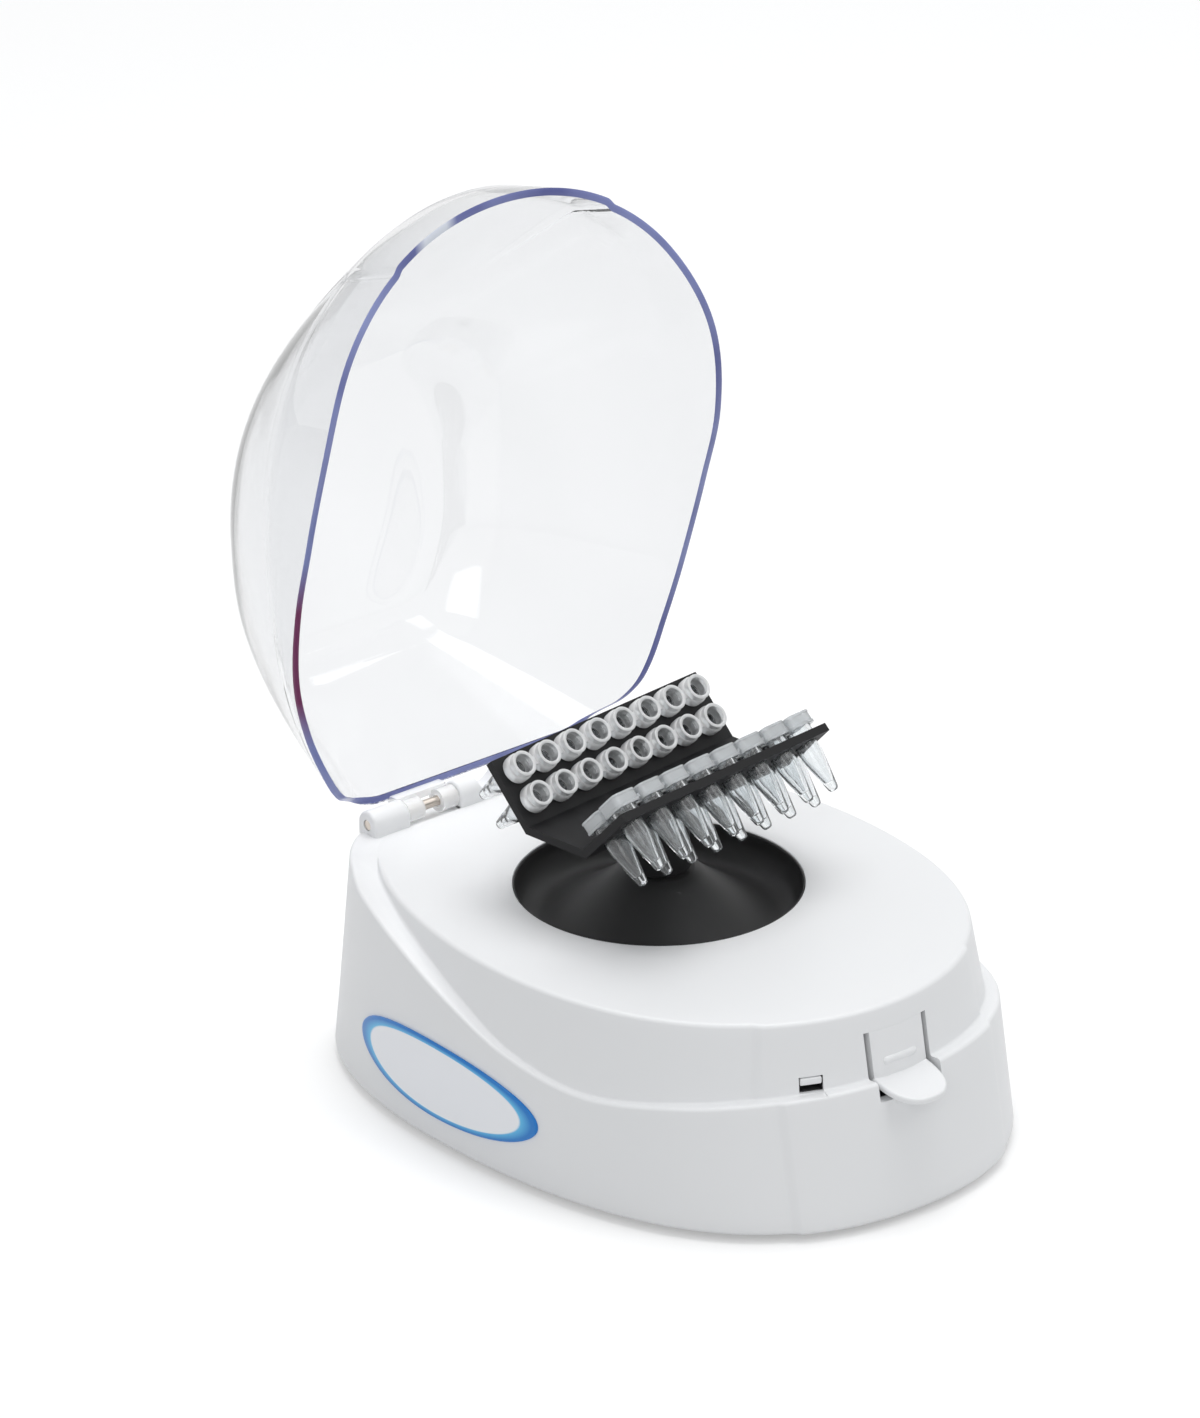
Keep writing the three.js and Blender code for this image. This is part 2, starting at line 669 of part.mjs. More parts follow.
function buildHump() {
  const footRadius = humpFootShare * bowlRadius;
  const footZ = bowlBottomZ + humpSeat;
  const inside = humpShares.map(([out, rise]) => [
    humpRadius + (footRadius - humpRadius) * out, footZ + (humpZ - footZ) * rise,
  ]);
  return revolved([
    [footRadius + humpSeat, bowlBottomZ],
    [footRadius, footZ],
    ...inside,
    [bowlHole, humpZ],
    [bowlHole, humpZ - bowlWall],
    [inside[2][0] - humpSeat, inside[2][1] - bowlWall],
    [inside[1][0] - bowlWall, inside[1][1] - bowlWall],
    [inside[0][0] - bowlWall, inside[0][1] - bowlWall],
    [footRadius - 2 * humpSeat, bowlBottomZ],
  ], 36);
}

// Tube strip in its own frame: tubes along X, mouths up +Z, panel face at zero height.
function tubeProfile() {
  const top = collarHeight + mouthHeight;
  const tip = top - tubeLength;
  const inside = tubeRadius - tubeWallThick;
  return [
    [0, tip],
    [tubeTip, tip + tubeTip / 2],
    [tubeRadius, -tubeLength * shoulderShare],
    [tubeRadius, 0],
    [collarRadius, 0],
    [collarRadius, collarHeight],
    [mouthRadius, collarHeight],
    [mouthRadius, top],
    [inside, top],
    [0, tip + 2 * tubeTip],
  ];
}

function buildStrip() {
  const profile = tubeProfile().map(([r, z]) => new THREE.Vector2(r, z));
  const tube = new THREE.LatheGeometry(profile, 8);
  tube.rotateX(Math.PI / 2);
  const first = -tubePitch * (tubesPerStrip - 1) / 2;
  const tubes = [];
  for (let i = 0; i < tubesPerStrip; i += 1) tubes.push(solidOf(tube.clone().translate(first + i * tubePitch, 0, 0)));
  for (let i = 0; i + 1 < tubesPerStrip; i += 1) {
    const middle = first + (i + 0.5) * tubePitch;
    const reach = tubePitch / 2 - tubeRadius;
    tubes.push(block(
      middle - reach, middle + reach, -webWidth / 2, webWidth / 2, collarHeight - webThick, collarHeight,
    ));
  }
  return joined(tubes);
}

// Row of flat caps over a strip. Each has a pocket round its mouth and sits on the collar.
function buildCaps() {
  const first = -tubePitch * (tubesPerStrip - 1) / 2;
  const bottom = collarHeight;
  const pocketTop = collarHeight + mouthHeight + fitGap;
  const h = capSize / 2;
  const web = capSize / 3;
  const outline = new THREE.Shape();
  outline.moveTo(-h + capCorner, -h);
  outline.lineTo(h - capCorner, -h);
  outline.lineTo(h, -h + capCorner);
  outline.lineTo(h, h - capCorner);
  outline.lineTo(h - capCorner, h);
  outline.lineTo(-h + capCorner, h);
  outline.lineTo(-h, h - capCorner);
  outline.lineTo(-h, -h + capCorner);
  const cap = new THREE.ExtrudeGeometry(outline, { depth: capHeight, bevelEnabled: false });
  const caps = [];
  const pockets = [];
  for (let i = 0; i < tubesPerStrip; i += 1) {
    const x = first + i * tubePitch;
    caps.push(solidOf(cap.clone().translate(x, 0, bottom)));
    pockets.push(post(x, 0, bottom - overrun, pocketTop, mouthRadius + fitGap, 8));
  }
  caps.push(block(first, -first, -web, web, bottom, bottom + webThick));
  return joined(caps).subtract(joined(pockets));
}

// Places a strip-frame solid on a rotor panel: row down from the top edge, side -1 front or +1 rear.
function onPanel(geometry, side, row) {
  const fromFold = panelSlope - rowFromEdge - row * rowSpacing;
  const place = new THREE.Matrix4();
  const up = new THREE.Matrix4().makeRotationX(side * panelAngle);
  const y = side * (floorHalf + fromFold * Math.cos(panelAngle));
  const z = floorZ + panelThick + fromFold * Math.sin(panelAngle);
  place.makeTranslation(0, y, z).multiply(up);
  geometry.applyMatrix4(place);
  return geometry;
}

// Trough: a flat floor between two leaning panels, drilled for the tubes.
function buildTrough() {
  const profile = new THREE.Shape();
  const cos = Math.cos(panelAngle);
  const sin = Math.sin(panelAngle);
  const outerFold = floorHalf + panelThick * Math.tan(panelAngle / 2);
  const topY = floorHalf + panelSlope * cos;
  const topZ = panelThick + panelSlope * sin;
  profile.moveTo(-outerFold, 0);
  profile.lineTo(outerFold, 0);
  profile.lineTo(topY + panelThick * sin, topZ - panelThick * cos);
  profile.lineTo(topY, topZ);
  profile.lineTo(floorHalf, panelThick);
  profile.lineTo(-floorHalf, panelThick);
  profile.lineTo(-topY, topZ);
  profile.lineTo(-topY - panelThick * sin, topZ - panelThick * cos);
  const geometry = new THREE.ExtrudeGeometry(profile, { depth: rotorLength, bevelEnabled: false });
  geometry.translate(0, 0, -rotorLength / 2);
  geometry.rotateX(Math.PI / 2);
  geometry.rotateZ(Math.PI / 2);
  geometry.translate(0, 0, floorZ);
  let trough = solidOf(geometry);
  const first = -tubePitch * (tubesPerStrip - 1) / 2;
  const holes = [];
  for (const side of [-1, 1]) {
    for (const row of [0, 1]) {
      for (let i = 0; i < tubesPerStrip; i += 1) {
        const drill = new THREE.CylinderGeometry(tubeRadius + fitGap, tubeRadius + fitGap, 4 * panelThick, 8);
        drill.rotateX(Math.PI / 2);
        drill.translate(first + i * tubePitch, 0, -panelThick);
        holes.push(solidOf(onPanel(drill, side, row)));
      }
    }
  }
  trough = trough.subtract(joined(holes));
  return trough.subtract(post(0, 0, floorZ - overrun, floorZ + overrun, shaftRadius + fitGap, 16));
}

function buildLabel() {
  const outline = new THREE.Shape();
  outline.absellipse(0, 0, labelHalfLength, labelHalfHeight, 0, 2 * Math.PI, false, 0);
  const prism = new THREE.ExtrudeGeometry(outline, { depth: hugeSpan, bevelEnabled: false, curveSegments: 28 });
  prism.rotateX(Math.PI / 2);
  prism.rotateZ(-Math.PI / 2);
  prism.translate(0, labelY, deckHeight - labelDrop);
  const band = skirt(skirtLift, deckHeight, labelThick + fitGap).subtract(skirt(skirtLift - overrun, deckHeight + overrun, fitGap));
  return band.intersect(solidOf(prism));
}

// Base group.
const base = new THREE.Group();
model.add(base);
node('housing', buildHousing(), shellWhite, base);
node('side_label', buildLabel(), labelWhite, base);

const plateInset = wall + fitGap;
let plate = loft([plateZ, plateTopZ].map((z) => ({ z, points: skirtPoints(z, -plateInset) })));
for (const [x, y] of pillarPlaces) {
  plate = plate.subtract(post(x, y, plateZ - overrun, plateTopZ + overrun, screwRadius + fitGap, 12));
}
for (const x of [-mountPlace.x, mountPlace.x]) {
  for (const y of [-mountPlace.y, mountPlace.y]) {
    plate = plate.add(post(x, y, plateTopZ - plateThick / 2, bracketZ - mountHeight, mountPost, 12));
  }
}
for (const side of [-1, 1]) {
  const x = side * board.postX;
  plate = plate.add(post(x, board.y, plateTopZ - plateThick / 2, plateTopZ + board.lift, board.postRadius, 12));
}
node('bottom_plate', plate, shellWhite, base);

footPlaces.forEach(([x, y], i) => {
  node(`foot_${i + 1}`, post(x, y, 0, footHeight, footTread, 16, footRadius), rubber, base);
});
pillarPlaces.forEach(([x, y], i) => {
  const head = post(x, y, plateZ - screwHeadHigh, plateZ, screwHead, 12);
  const shank = post(x, y, plateZ - screwHeadHigh / 2, plateTopZ + screwLength - fitGap, screwRadius, 8);
  node(`base_screw_${i + 1}`, head.add(shank), steel, base);
});

node('chamber_bowl', buildBowl(), bowlBlack, base);
node('bowl_hump', buildHump(), bowlBlack, base);
node('deck_ring', buildDeckRing(), shellWhite, base);
bowlScrewPlaces().forEach(([x, y], i) => {
  const flangeZ = bowlTopZ - bowlWall;
  const head = post(x, y, flangeZ - screwHeadHigh, flangeZ, bowlScrewHead, 10);
  const shank = post(x, y, flangeZ - screwHeadHigh / 2, bowlTopZ + wall / 2 - fitGap, screwRadius / 2, 8);
  node(`bowl_screw_${i + 1}`, head.add(shank), steel, base);
});

let bracket = block(
  -bracketPlate.width / 2, bracketPlate.width / 2, -bracketPlate.depth / 2, bracketPlate.depth / 2,
  bracketZ, bracketZ + bracketPlate.thick,
);
bracket = bracket.subtract(post(0, 0, bracketZ - overrun, bracketZ + overrun, 3 * shaftRadius, 20));
node('motor_bracket', bracket, steel, base);
let mountNumber = 0;
for (const x of [-mountPlace.x, mountPlace.x]) {
  for (const y of [-mountPlace.y, mountPlace.y]) {
    mountNumber += 1;
    node(`motor_mount_${mountNumber}`, post(x, y, bracketZ - mountHeight, bracketZ, mountRadius, 16), rubber, base);
  }
}
const can = post(0, 0, motorZ, bracketZ, motorRadius, 32)
  .subtract(post(0, 0, motorZ + motorHeight / 3, bracketZ + overrun, shaftRadius + fitGap, 16));
node('motor_can', can, steel, base);

node('circuit_board', block(
  -board.width / 2, board.width / 2, board.y - board.depth / 2, board.y + board.depth / 2,
  plateTopZ + board.lift, plateTopZ + board.lift + board.thick,
), boardGreen, base);

const jackFace = skirtRearAt(jack.z - jack.flange) + fitGap;
const jackSolid = rodY(jack.x, jackFace, jackFace + jack.proud, jack.z, jack.flange, 20)
  .add(rodY(jack.x, jackFace - jack.depth, jackFace + jack.proud / 2, jack.z, jack.barrel, 20))
  .subtract(rodY(jack.x, jackFace - jack.boreDepth, jackFace + overrun, jack.z, jack.bore, 16));
node('power_inlet', jackSolid, plasticDark, base);
node('inlet_pin', rodY(
  jack.x, jackFace - jack.boreDepth, jackFace - jack.proud, jack.z, jack.pin, 12,
), steel, base);

// Lid switch: slider with its bar in the upper half of the window, in a guide behind the wall.
const leverFront = fitGap;
const leverBottom = leverRise;
const lever = switchBlock(
  -switchWidth / 2 + fitGap, switchWidth / 2 - fitGap, leverFront, leverFront + leverDepth,
  leverBottom, switchHeight - fitGap,
);
const guideFront = wall + 2 * fitGap + upperDraft * switchBody.height;
const guide = switchBlock(
  -switchBody.width / 2, switchBody.width / 2, guideFront, guideFront + switchBody.depth + switchTravel,
  leverBottom - switchBody.height / 2, switchHeight + switchBody.height / 4,
).subtract(switchBlock(
  -switchWidth / 2, switchWidth / 2, guideFront - overrun, leverFront + leverDepth + switchTravel + fitGap,
  leverBottom - fitGap, switchHeight,
));
node('lid_switch_body', guide, plasticDark, base);
const switchGroup = new THREE.Group();
model.add(switchGroup);
node('lid_switch_lever', lever, shellWhite, switchGroup);

// Latch.
const latchGroup = new THREE.Group();
model.add(latchGroup);
node('latch_tongue', buildLatch(), shellWhite, latchGroup);

// Hinge pins, held in the ridge.
const hingeGroup = new THREE.Group();
model.add(hingeGroup);
[-1, 1].forEach((side) => {
  const a = side * (bracketInner - saddleHalf + fitGap);
  const b = side * (ridgeHalf - fitGap);
  const name = side < 0 ? 'hinge_pin_left' : 'hinge_pin_right';
  node(name, rodX(Math.min(a, b), Math.max(a, b), pinY, pinZ, pinRadius, 20), steel, hingeGroup);
});

// Lid, modelled closed and swung open about the pins.
const lidGroup = new THREE.Group();
lidGroup.position.set(0, pinY, pinZ);
lidGroup.rotation.x = -lidOpenAngle;
model.add(lidGroup);
const lidMesh = node('lid', buildLid(), clearLid, lidGroup);
lidMesh.position.set(0, -pinY, -pinZ);

// Rotor and spindle, turned to the heading in which it stands.
const rotor = new THREE.Group();
rotor.rotation.z = rotorHeading;
model.add(rotor);
node('motor_shaft', post(
  0, 0, motorZ + motorHeight / 3 + fitGap, floorZ + panelThick, shaftRadius, 16,
), steel, rotor);
const hub = post(0, 0, floorZ - hubDrop, floorZ, hubRadius, 28, hubTop)
  .subtract(post(0, 0, floorZ - hubDrop - overrun, floorZ + overrun, shaftRadius + fitGap, 16));
node('rotor_hub', hub, rotorBlack, rotor);
node('rotor_trough', buildTrough(), rotorBlack, rotor);
const stripSolid = geometryOf(buildStrip());
const capSolid = geometryOf(buildCaps());
for (const side of [-1, 1]) {
  for (const row of [0, 1]) {
    const where = side < 0 ? 'front' : 'rear';
    const level = row === 0 ? 'upper' : 'lower';
    const strip = new THREE.Mesh(onPanel(stripSolid.clone(), side, row), tubeClear);
    strip.name = `tube_strip_${where}_${level}`;
    rotor.add(strip);
    if (side < 0) {
      const caps = new THREE.Mesh(onPanel(capSolid.clone(), side, row), capGrey);
      caps.name = `cap_strip_${where}_${level}`;
      rotor.add(caps);
    }
  }
}

// The part's origin is the middle of its footprint box, on the table.
model.updateMatrixWorld(true);
const size = new THREE.Box3().setFromObject(model, true);
const centre = size.getCenter(new THREE.Vector3());
model.position.set(-centre.x, -centre.y, -size.min.z);

const centrifuge = new THREE.Group();
centrifuge.add(model);

export default centrifuge;
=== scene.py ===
import math

import bmesh
import bpy
import numpy as np
from mathutils import Matrix, Vector


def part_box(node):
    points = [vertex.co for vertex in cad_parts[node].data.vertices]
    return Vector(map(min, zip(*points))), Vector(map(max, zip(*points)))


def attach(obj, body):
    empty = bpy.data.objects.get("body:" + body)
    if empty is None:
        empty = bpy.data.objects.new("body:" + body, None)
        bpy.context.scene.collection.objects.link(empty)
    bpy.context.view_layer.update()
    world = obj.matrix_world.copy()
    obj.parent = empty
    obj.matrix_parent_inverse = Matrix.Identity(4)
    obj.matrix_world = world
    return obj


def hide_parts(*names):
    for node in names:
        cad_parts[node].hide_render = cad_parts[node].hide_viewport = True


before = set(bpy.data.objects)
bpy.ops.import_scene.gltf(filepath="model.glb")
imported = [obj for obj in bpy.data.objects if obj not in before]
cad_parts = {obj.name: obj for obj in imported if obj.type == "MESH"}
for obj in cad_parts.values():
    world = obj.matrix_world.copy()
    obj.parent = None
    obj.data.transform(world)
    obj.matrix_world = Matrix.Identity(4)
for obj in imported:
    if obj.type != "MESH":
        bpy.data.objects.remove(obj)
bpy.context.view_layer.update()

# Studio: a plain white floor under an even sky, with a large soft lamp overhead and two weak ones from
# the left and the right front. The camera stands at the left front of the centrifuge and looks down on it,
# as in the photograph.
mm = 0.001
scene = bpy.context.scene
scene.view_settings.view_transform = "Standard"

hub_low, hub_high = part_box("rotor_hub")
spindle = Vector(((hub_low.x + hub_high.x) / 2, (hub_low.y + hub_high.y) / 2, 0))
deck_height = 54.0

camera_reach, focal_pixels, photo_pixels = 2.5419, 10110, 1418
camera_turn, camera_rise = math.radians(40.27), math.radians(25.75)
aim_turn, aim_rise, aim_roll = math.radians(39.905), math.radians(24.775), math.radians(-0.285)
camera_place = camera_reach * Vector((
    -math.sin(camera_turn) * math.cos(camera_rise),
    -math.cos(camera_turn) * math.cos(camera_rise),
    math.sin(camera_rise),
))
ahead = Vector((math.sin(aim_turn) * math.cos(aim_rise), math.cos(aim_turn) * math.cos(aim_rise), -math.sin(aim_rise)))
level = Vector((math.cos(aim_turn), -math.sin(aim_turn), 0))
upward = level.cross(ahead)
across = math.cos(aim_roll) * level + math.sin(aim_roll) * upward
upward = -math.sin(aim_roll) * level + math.cos(aim_roll) * upward
camera = bpy.data.objects.new("camera", bpy.data.cameras.new("camera"))
scene.collection.objects.link(camera)
camera.matrix_world = Matrix.Translation(camera_place + spindle + Vector((0, 0, deck_height * mm))) @ Matrix((
    (across.x, upward.x, -ahead.x, 0),
    (across.y, upward.y, -ahead.y, 0),
    (across.z, upward.z, -ahead.z, 0),
    (0, 0, 0, 1),
))
camera.data.sensor_width = 36
camera.data.lens = focal_pixels / photo_pixels * camera.data.sensor_width
camera.data.clip_end = 20
scene.camera = camera


def seen_mask(nodes, links):
    path = nodes.new("ShaderNodeLightPath")
    seen = path.outputs["Is Camera Ray"]
    for ray in ("Is Glossy Ray", "Is Transmission Ray"):
        either = nodes.new("ShaderNodeMath")
        either.operation = "MAXIMUM"
        links.new(seen, either.inputs[0])
        links.new(path.outputs[ray], either.inputs[1])
        seen = either.outputs[0]
    return seen


sky = bpy.data.worlds.new("sky")
scene.world = sky
sky.use_nodes = True
sky_nodes, sky_links = sky.node_tree.nodes, sky.node_tree.links
sky_nodes.clear()
sky_out = sky_nodes.new("ShaderNodeOutputWorld")
sky_mix = sky_nodes.new("ShaderNodeMixShader")
sky_fill = sky_nodes.new("ShaderNodeBackground")
sky_fill.inputs["Color"].default_value = (0.97, 0.985, 1, 1)
sky_fill.inputs["Strength"].default_value = 0.475
sky_seen = sky_nodes.new("ShaderNodeBackground")
sky_seen.inputs["Color"].default_value = (1, 1, 1, 1)
sky_seen.inputs["Strength"].default_value = 1
sky_links.new(seen_mask(sky_nodes, sky_links), sky_mix.inputs["Fac"])
sky_links.new(sky_fill.outputs[0], sky_mix.inputs[1])
sky_links.new(sky_seen.outputs[0], sky_mix.inputs[2])
sky_links.new(sky_mix.outputs[0], sky_out.inputs["Surface"])

lamp_aim_height = 0.08
for name, place, size, power in (
    ("lamp_overhead", (0.2, 0.15, 1.5), 1.1, 11.0),
    ("lamp_left", (-1.1, -1.0, 0.9), 0.8, 3.6),
    ("lamp_front", (0.5, -0.9, 1.2), 0.7, 2.6),
):
    lamp = bpy.data.lights.new(name, "AREA")
    lamp.shape = "SQUARE"
    lamp.size = size
    lamp.energy = power
    lamp_object = bpy.data.objects.new(name, lamp)
    scene.collection.objects.link(lamp_object)
    lamp_object.location = place
    beam = Vector((0, 0, lamp_aim_height)) - Vector(place)
    lamp_object.rotation_euler = beam.to_track_quat("-Z", "Y").to_euler()

paper_half = 6
floor_mesh = bpy.data.meshes.new("floor")
floor_corners = [(x * paper_half, y * paper_half, 0) for x, y in ((-1, -1), (1, -1), (1, 1), (-1, 1))]
floor_mesh.from_pydata(floor_corners, [], [(0, 1, 2, 3)])
floor = bpy.data.objects.new("floor", floor_mesh)
scene.collection.objects.link(floor)
paper = bpy.data.materials.new("white_paper")
paper.use_nodes = True
paper_bsdf = paper.node_tree.nodes["Principled BSDF"]
paper_bsdf.inputs["Base Color"].default_value = (0.75, 0.75, 0.75, 1)
paper_bsdf.inputs["Roughness"].default_value = 0.9
paper_bsdf.inputs["Specular IOR Level"].default_value = 0.1
paper_bsdf.inputs["Emission Color"].default_value = (1, 1, 1, 1)
paper_nodes, paper_links = paper.node_tree.nodes, paper.node_tree.links
paper_glow = paper_nodes.new("ShaderNodeMath")
paper_glow.operation = "MULTIPLY"
paper_glow.inputs[1].default_value = 0.33
paper_links.new(seen_mask(paper_nodes, paper_links), paper_glow.inputs[0])
paper_links.new(paper_glow.outputs[0], paper_bsdf.inputs["Emission Strength"])
floor_mesh.materials.append(paper)

# Housing: one moulding in satin white plastic. A drafted upper wall stands on a wider skirt, with a
# ledge between them that dips to the front, where the nose stands a little proud of the flanks.
deck_plan = dict(front=88, half=63.2, widest=-8.5, rear=66.5, rear_half=30, nose=27, flank=60, tail=36, corner=17)
skirt_top = dict(front=91.5, half=69, widest=-6.5, rear=73, rear_half=32, nose=32, flank=64, tail=40, corner=20)
skirt_foot = dict(front=101, half=70, widest=3, rear=76, rear_half=32, nose=39, flank=80, tail=44, corner=22)
wall, skirt_low, foot_round, upper_draft = 2.4, 2.0, 1.6, 0.185
nose_half, nose_pop, nose_ramp = 35.3, 1.0, 2.0
ledge_line = np.array((
    (-115, 16.6), (-92, 17.4), (-70, 20), (-45, 22.2), (-20, 18.1), (0, 11.6),
    (20, 6), (38, 2.9), (53, 1.5), (59, -1.2), (64, -6.4), (90, -7.4),
))


def cubic(points, t):
    p = [np.array(q, float) for q in points]
    t = np.asarray(t, float)[:, None]
    return (1 - t) ** 3 * p[0] + 3 * (1 - t) ** 2 * t * p[1] + 3 * (1 - t) * t * t * p[2] + t ** 3 * p[3]


def teardrop(plan, pop=nose_pop):
    nose = [(0, -plan["front"]), (plan["nose"], -plan["front"]),
            (plan["half"], plan["widest"] - plan["flank"]), (plan["half"], plan["widest"])]
    tail = [(plan["half"], plan["widest"]), (plan["half"], plan["widest"] + plan["tail"]),
            (plan["rear_half"] + plan["corner"], plan["rear"]), (plan["rear_half"], plan["rear"])]
    fine = np.linspace(0, 1, 4001)
    x = cubic(nose, fine)[:, 0]
    start = fine[np.searchsorted(x, nose_half - nose_ramp)]
    stop = fine[np.searchsorted(x, nose_half)]
    t = np.concatenate([np.linspace(0, start, 18), np.linspace(start, stop, 7)[1:], np.linspace(stop, 1, 40)[1:]])
    front = cubic(nose, t)
    ramp = np.clip((t - start) / (stop - start), 0, 1)
    front[:, 1] -= pop * (1 - ramp * ramp * (3 - 2 * ramp))
    rear = cubic(tail, np.linspace(0, 1, 56)[1:])
    back = np.stack([np.linspace(plan["rear_half"], 0, 9)[1:], np.full(8, float(plan["rear"]))], 1)
    half = np.concatenate([front, rear, back])
    other = half[1:-1][::-1] * (-1, 1)
    return np.concatenate([half, other])


def pushed(points, distance):
    along = np.roll(points, -1, 0) - np.roll(points, 1, 0)
    normal = np.stack([along[:, 1], -along[:, 0]], 1)
    normal /= np.linalg.norm(normal, axis=1, keepdims=True)
    return points + normal * np.reshape(distance, (-1, 1))


def ledge_drop(y):
    y = np.asarray(y, float)
    place, drop = ledge_line[:, 0], ledge_line[:, 1]
    i = np.clip(np.searchsorted(place, y, side="left") - 1, 0, len(place) - 2)
    a, d = np.maximum(i - 1, 0), np.minimum(i + 2, len(place) - 1)
    b, c = i, i + 1
    run = place[c] - place[b]
    t = np.clip((y - place[b]) / run, 0, 1)
    leave = np.where(a == c, 0, (drop[c] - drop[a]) / (place[c] - place[a]) * run)
    arrive = np.where(d == b, 0, (drop[d] - drop[b]) / (place[d] - place[b]) * run)
    return ((2 * t ** 3 - 3 * t ** 2 + 1) * drop[b] + (t ** 3 - 2 * t ** 2 + t) * leave
            + (3 * t ** 2 - 2 * t ** 3) * drop[c] + (t ** 3 - t ** 2) * arrive)


deck_ring, top_ring, foot_ring = teardrop(deck_plan), teardrop(skirt_top), teardrop(skirt_foot)


def skirt_at(z, distance=0.0):
    share = np.reshape((deck_height - np.asarray(z, float)) / (deck_height - skirt_low), (-1, 1))
    return pushed(top_ring * (1 - share) + foot_ring * share, distance)


def upper_at(z, distance=0.0):
    return pushed(deck_ring, (deck_height - np.asarray(z, float)) * upper_draft + distance)


def ledge_height(ring_at):
    z = np.full(len(deck_ring), deck_height)
    for _ in range(8):
        z = deck_height - np.maximum(ledge_drop(ring_at(z)[:, 1]), 0)
    return z


def level_ring(points, z):
    return np.column_stack([points, np.broadcast_to(z, len(points))])


def mesh_of_rings(name, rings, close_ends=False, close_loop=False):
    count = len(rings[0])
    verts = np.concatenate(rings) * mm + np.array(spindle)
    faces = []
    last = len(rings) if close_loop else len(rings) - 1
    for level in range(last):
        low, high = level * count, (level + 1) % len(rings) * count
        for i in range(count):
            j = (i + 1) % count
            faces.append((low + i, low + j, high + j, high + i))
    if close_ends:
        faces.append(tuple(range(count))[::-1])
        faces.append(tuple(range((len(rings) - 1) * count, len(rings) * count)))
    mesh = bpy.data.meshes.new(name)
    mesh.from_pydata(verts.tolist(), [], faces)
    work = bmesh.new()
    work.from_mesh(mesh)
    bmesh.ops.remove_doubles(work, verts=work.verts, dist=1e-7)
    bmesh.ops.recalc_face_normals(work, faces=work.faces)
    work.to_mesh(mesh)
    work.free()
    made = bpy.data.objects.new(name, mesh)
    scene.collection.objects.link(made)
    return made


def smooth(piece, angle=30):
    piece.data.polygons.foreach_set("use_smooth", [True] * len(piece.data.polygons))
    piece.data.set_sharp_from_angle(angle=math.radians(angle))
    return piece


def settle(piece):
    bpy.context.view_layer.update()
    done = bpy.data.meshes.new_from_object(piece.evaluated_get(bpy.context.evaluated_depsgraph_get()))
    piece.modifiers.clear()
    piece.data = done
    return piece


def cut(piece, tool):
    knife = piece.modifiers.new("cut", "BOOLEAN")
    knife.operation = "DIFFERENCE"
    knife.solver = "EXACT"
    knife.object = tool
    settle(piece)
    bpy.data.objects.remove(tool)
    return piece


def round_edges(piece, width, segments=2, angle=30):
    rounding = piece.modifiers.new("rounding", "BEVEL")
    rounding.width = width * mm
    rounding.segments = segments
    rounding.limit_method = "ANGLE"
    rounding.angle_limit = math.radians(angle)
    return piece


def box_piece(name, low, high):
    corners = [(low[0], low[1]), (high[0], low[1]), (high[0], high[1]), (low[0], high[1])]
    rings = [level_ring(np.array(corners), z) for z in (low[2], high[2])]
    return mesh_of_rings(name, rings, close_ends=True)


def rod_piece(name, start, end, radius, sides=48):
    start, end = np.array(start, float), np.array(end, float)
    axis = (end - start) / np.linalg.norm(end - start)
    side = np.cross(axis, (0, 0, 1)) if abs(axis[2]) < 0.9 else np.array((1.0, 0, 0))
    side /= np.linalg.norm(side)
    other = np.cross(axis, side)
    angle = np.linspace(0, 2 * np.pi, sides, endpoint=False)[:, None]
    circle = radius * (np.cos(angle) * side + np.sin(angle) * other)
    return mesh_of_rings(name, [start + circle, end + circle], close_ends=True)


z_skirt, z_wall = ledge_height(skirt_at), ledge_height(upper_at)
step_tall = deck_height - z_wall
edge_round = 0.9
crease = np.minimum(0.6, 0.4 * step_tall)
brow = np.minimum(1.1, 0.5 * step_tall + 0.02)
quarter = np.linspace(0, np.pi / 2, 6)
rings = []
for a in quarter[:-1]:
    z = skirt_low + foot_round * (1 - np.cos(a))
    rings.append(level_ring(skirt_at(np.full(len(z_skirt), z), -foot_round * (1 - np.sin(a))), z))
for share in np.linspace(0, 1, 12):
    z = skirt_low + foot_round + share * (z_skirt - edge_round - skirt_low - foot_round)
    rings.append(level_ring(skirt_at(z), z))
for a in quarter[1:]:
    z = z_skirt - edge_round + edge_round * np.sin(a)
    rings.append(level_ring(skirt_at(z, -edge_round * (1 - np.cos(a))), z))
outer_ledge, inner_ledge = rings[-1], level_ring(upper_at(z_wall, crease), z_wall)
rings.append(outer_ledge * 0.5 + inner_ledge * 0.5)
for a in quarter:
    z = z_wall + crease * (1 - np.cos(a))
    rings.append(level_ring(upper_at(z, crease * (1 - np.sin(a))), z))
for share in np.linspace(0, 1, 8)[1:]:
    z = z_wall + crease + share * (deck_height - brow - z_wall - crease)
    rings.append(level_ring(upper_at(z), z))
for a in quarter[1:]:
    z = deck_height - brow + brow * np.sin(a)
    rings.append(level_ring(upper_at(z, -brow * (1 - np.cos(a))), z))
deck_edge = rings[-1][:, :2]
bowl_radius, deck_under = 36.8, 51.6
rim_turn = np.arctan2(deck_edge[:, 1], deck_edge[:, 0])
rim_circle = np.stack([np.cos(rim_turn), np.sin(rim_turn)], 1)
for share in np.linspace(0, 1, 7)[1:]:
    rings.append(level_ring(deck_edge * (1 - share) + rim_circle * (bowl_radius + 0.5) * share, deck_height))
rings.append(level_ring(rim_circle * (bowl_radius + 0.15), deck_height - 0.15))
rings.append(level_ring(rim_circle * bowl_radius, deck_height - 0.5))
rings.append(level_ring(rim_circle * bowl_radius, deck_under))
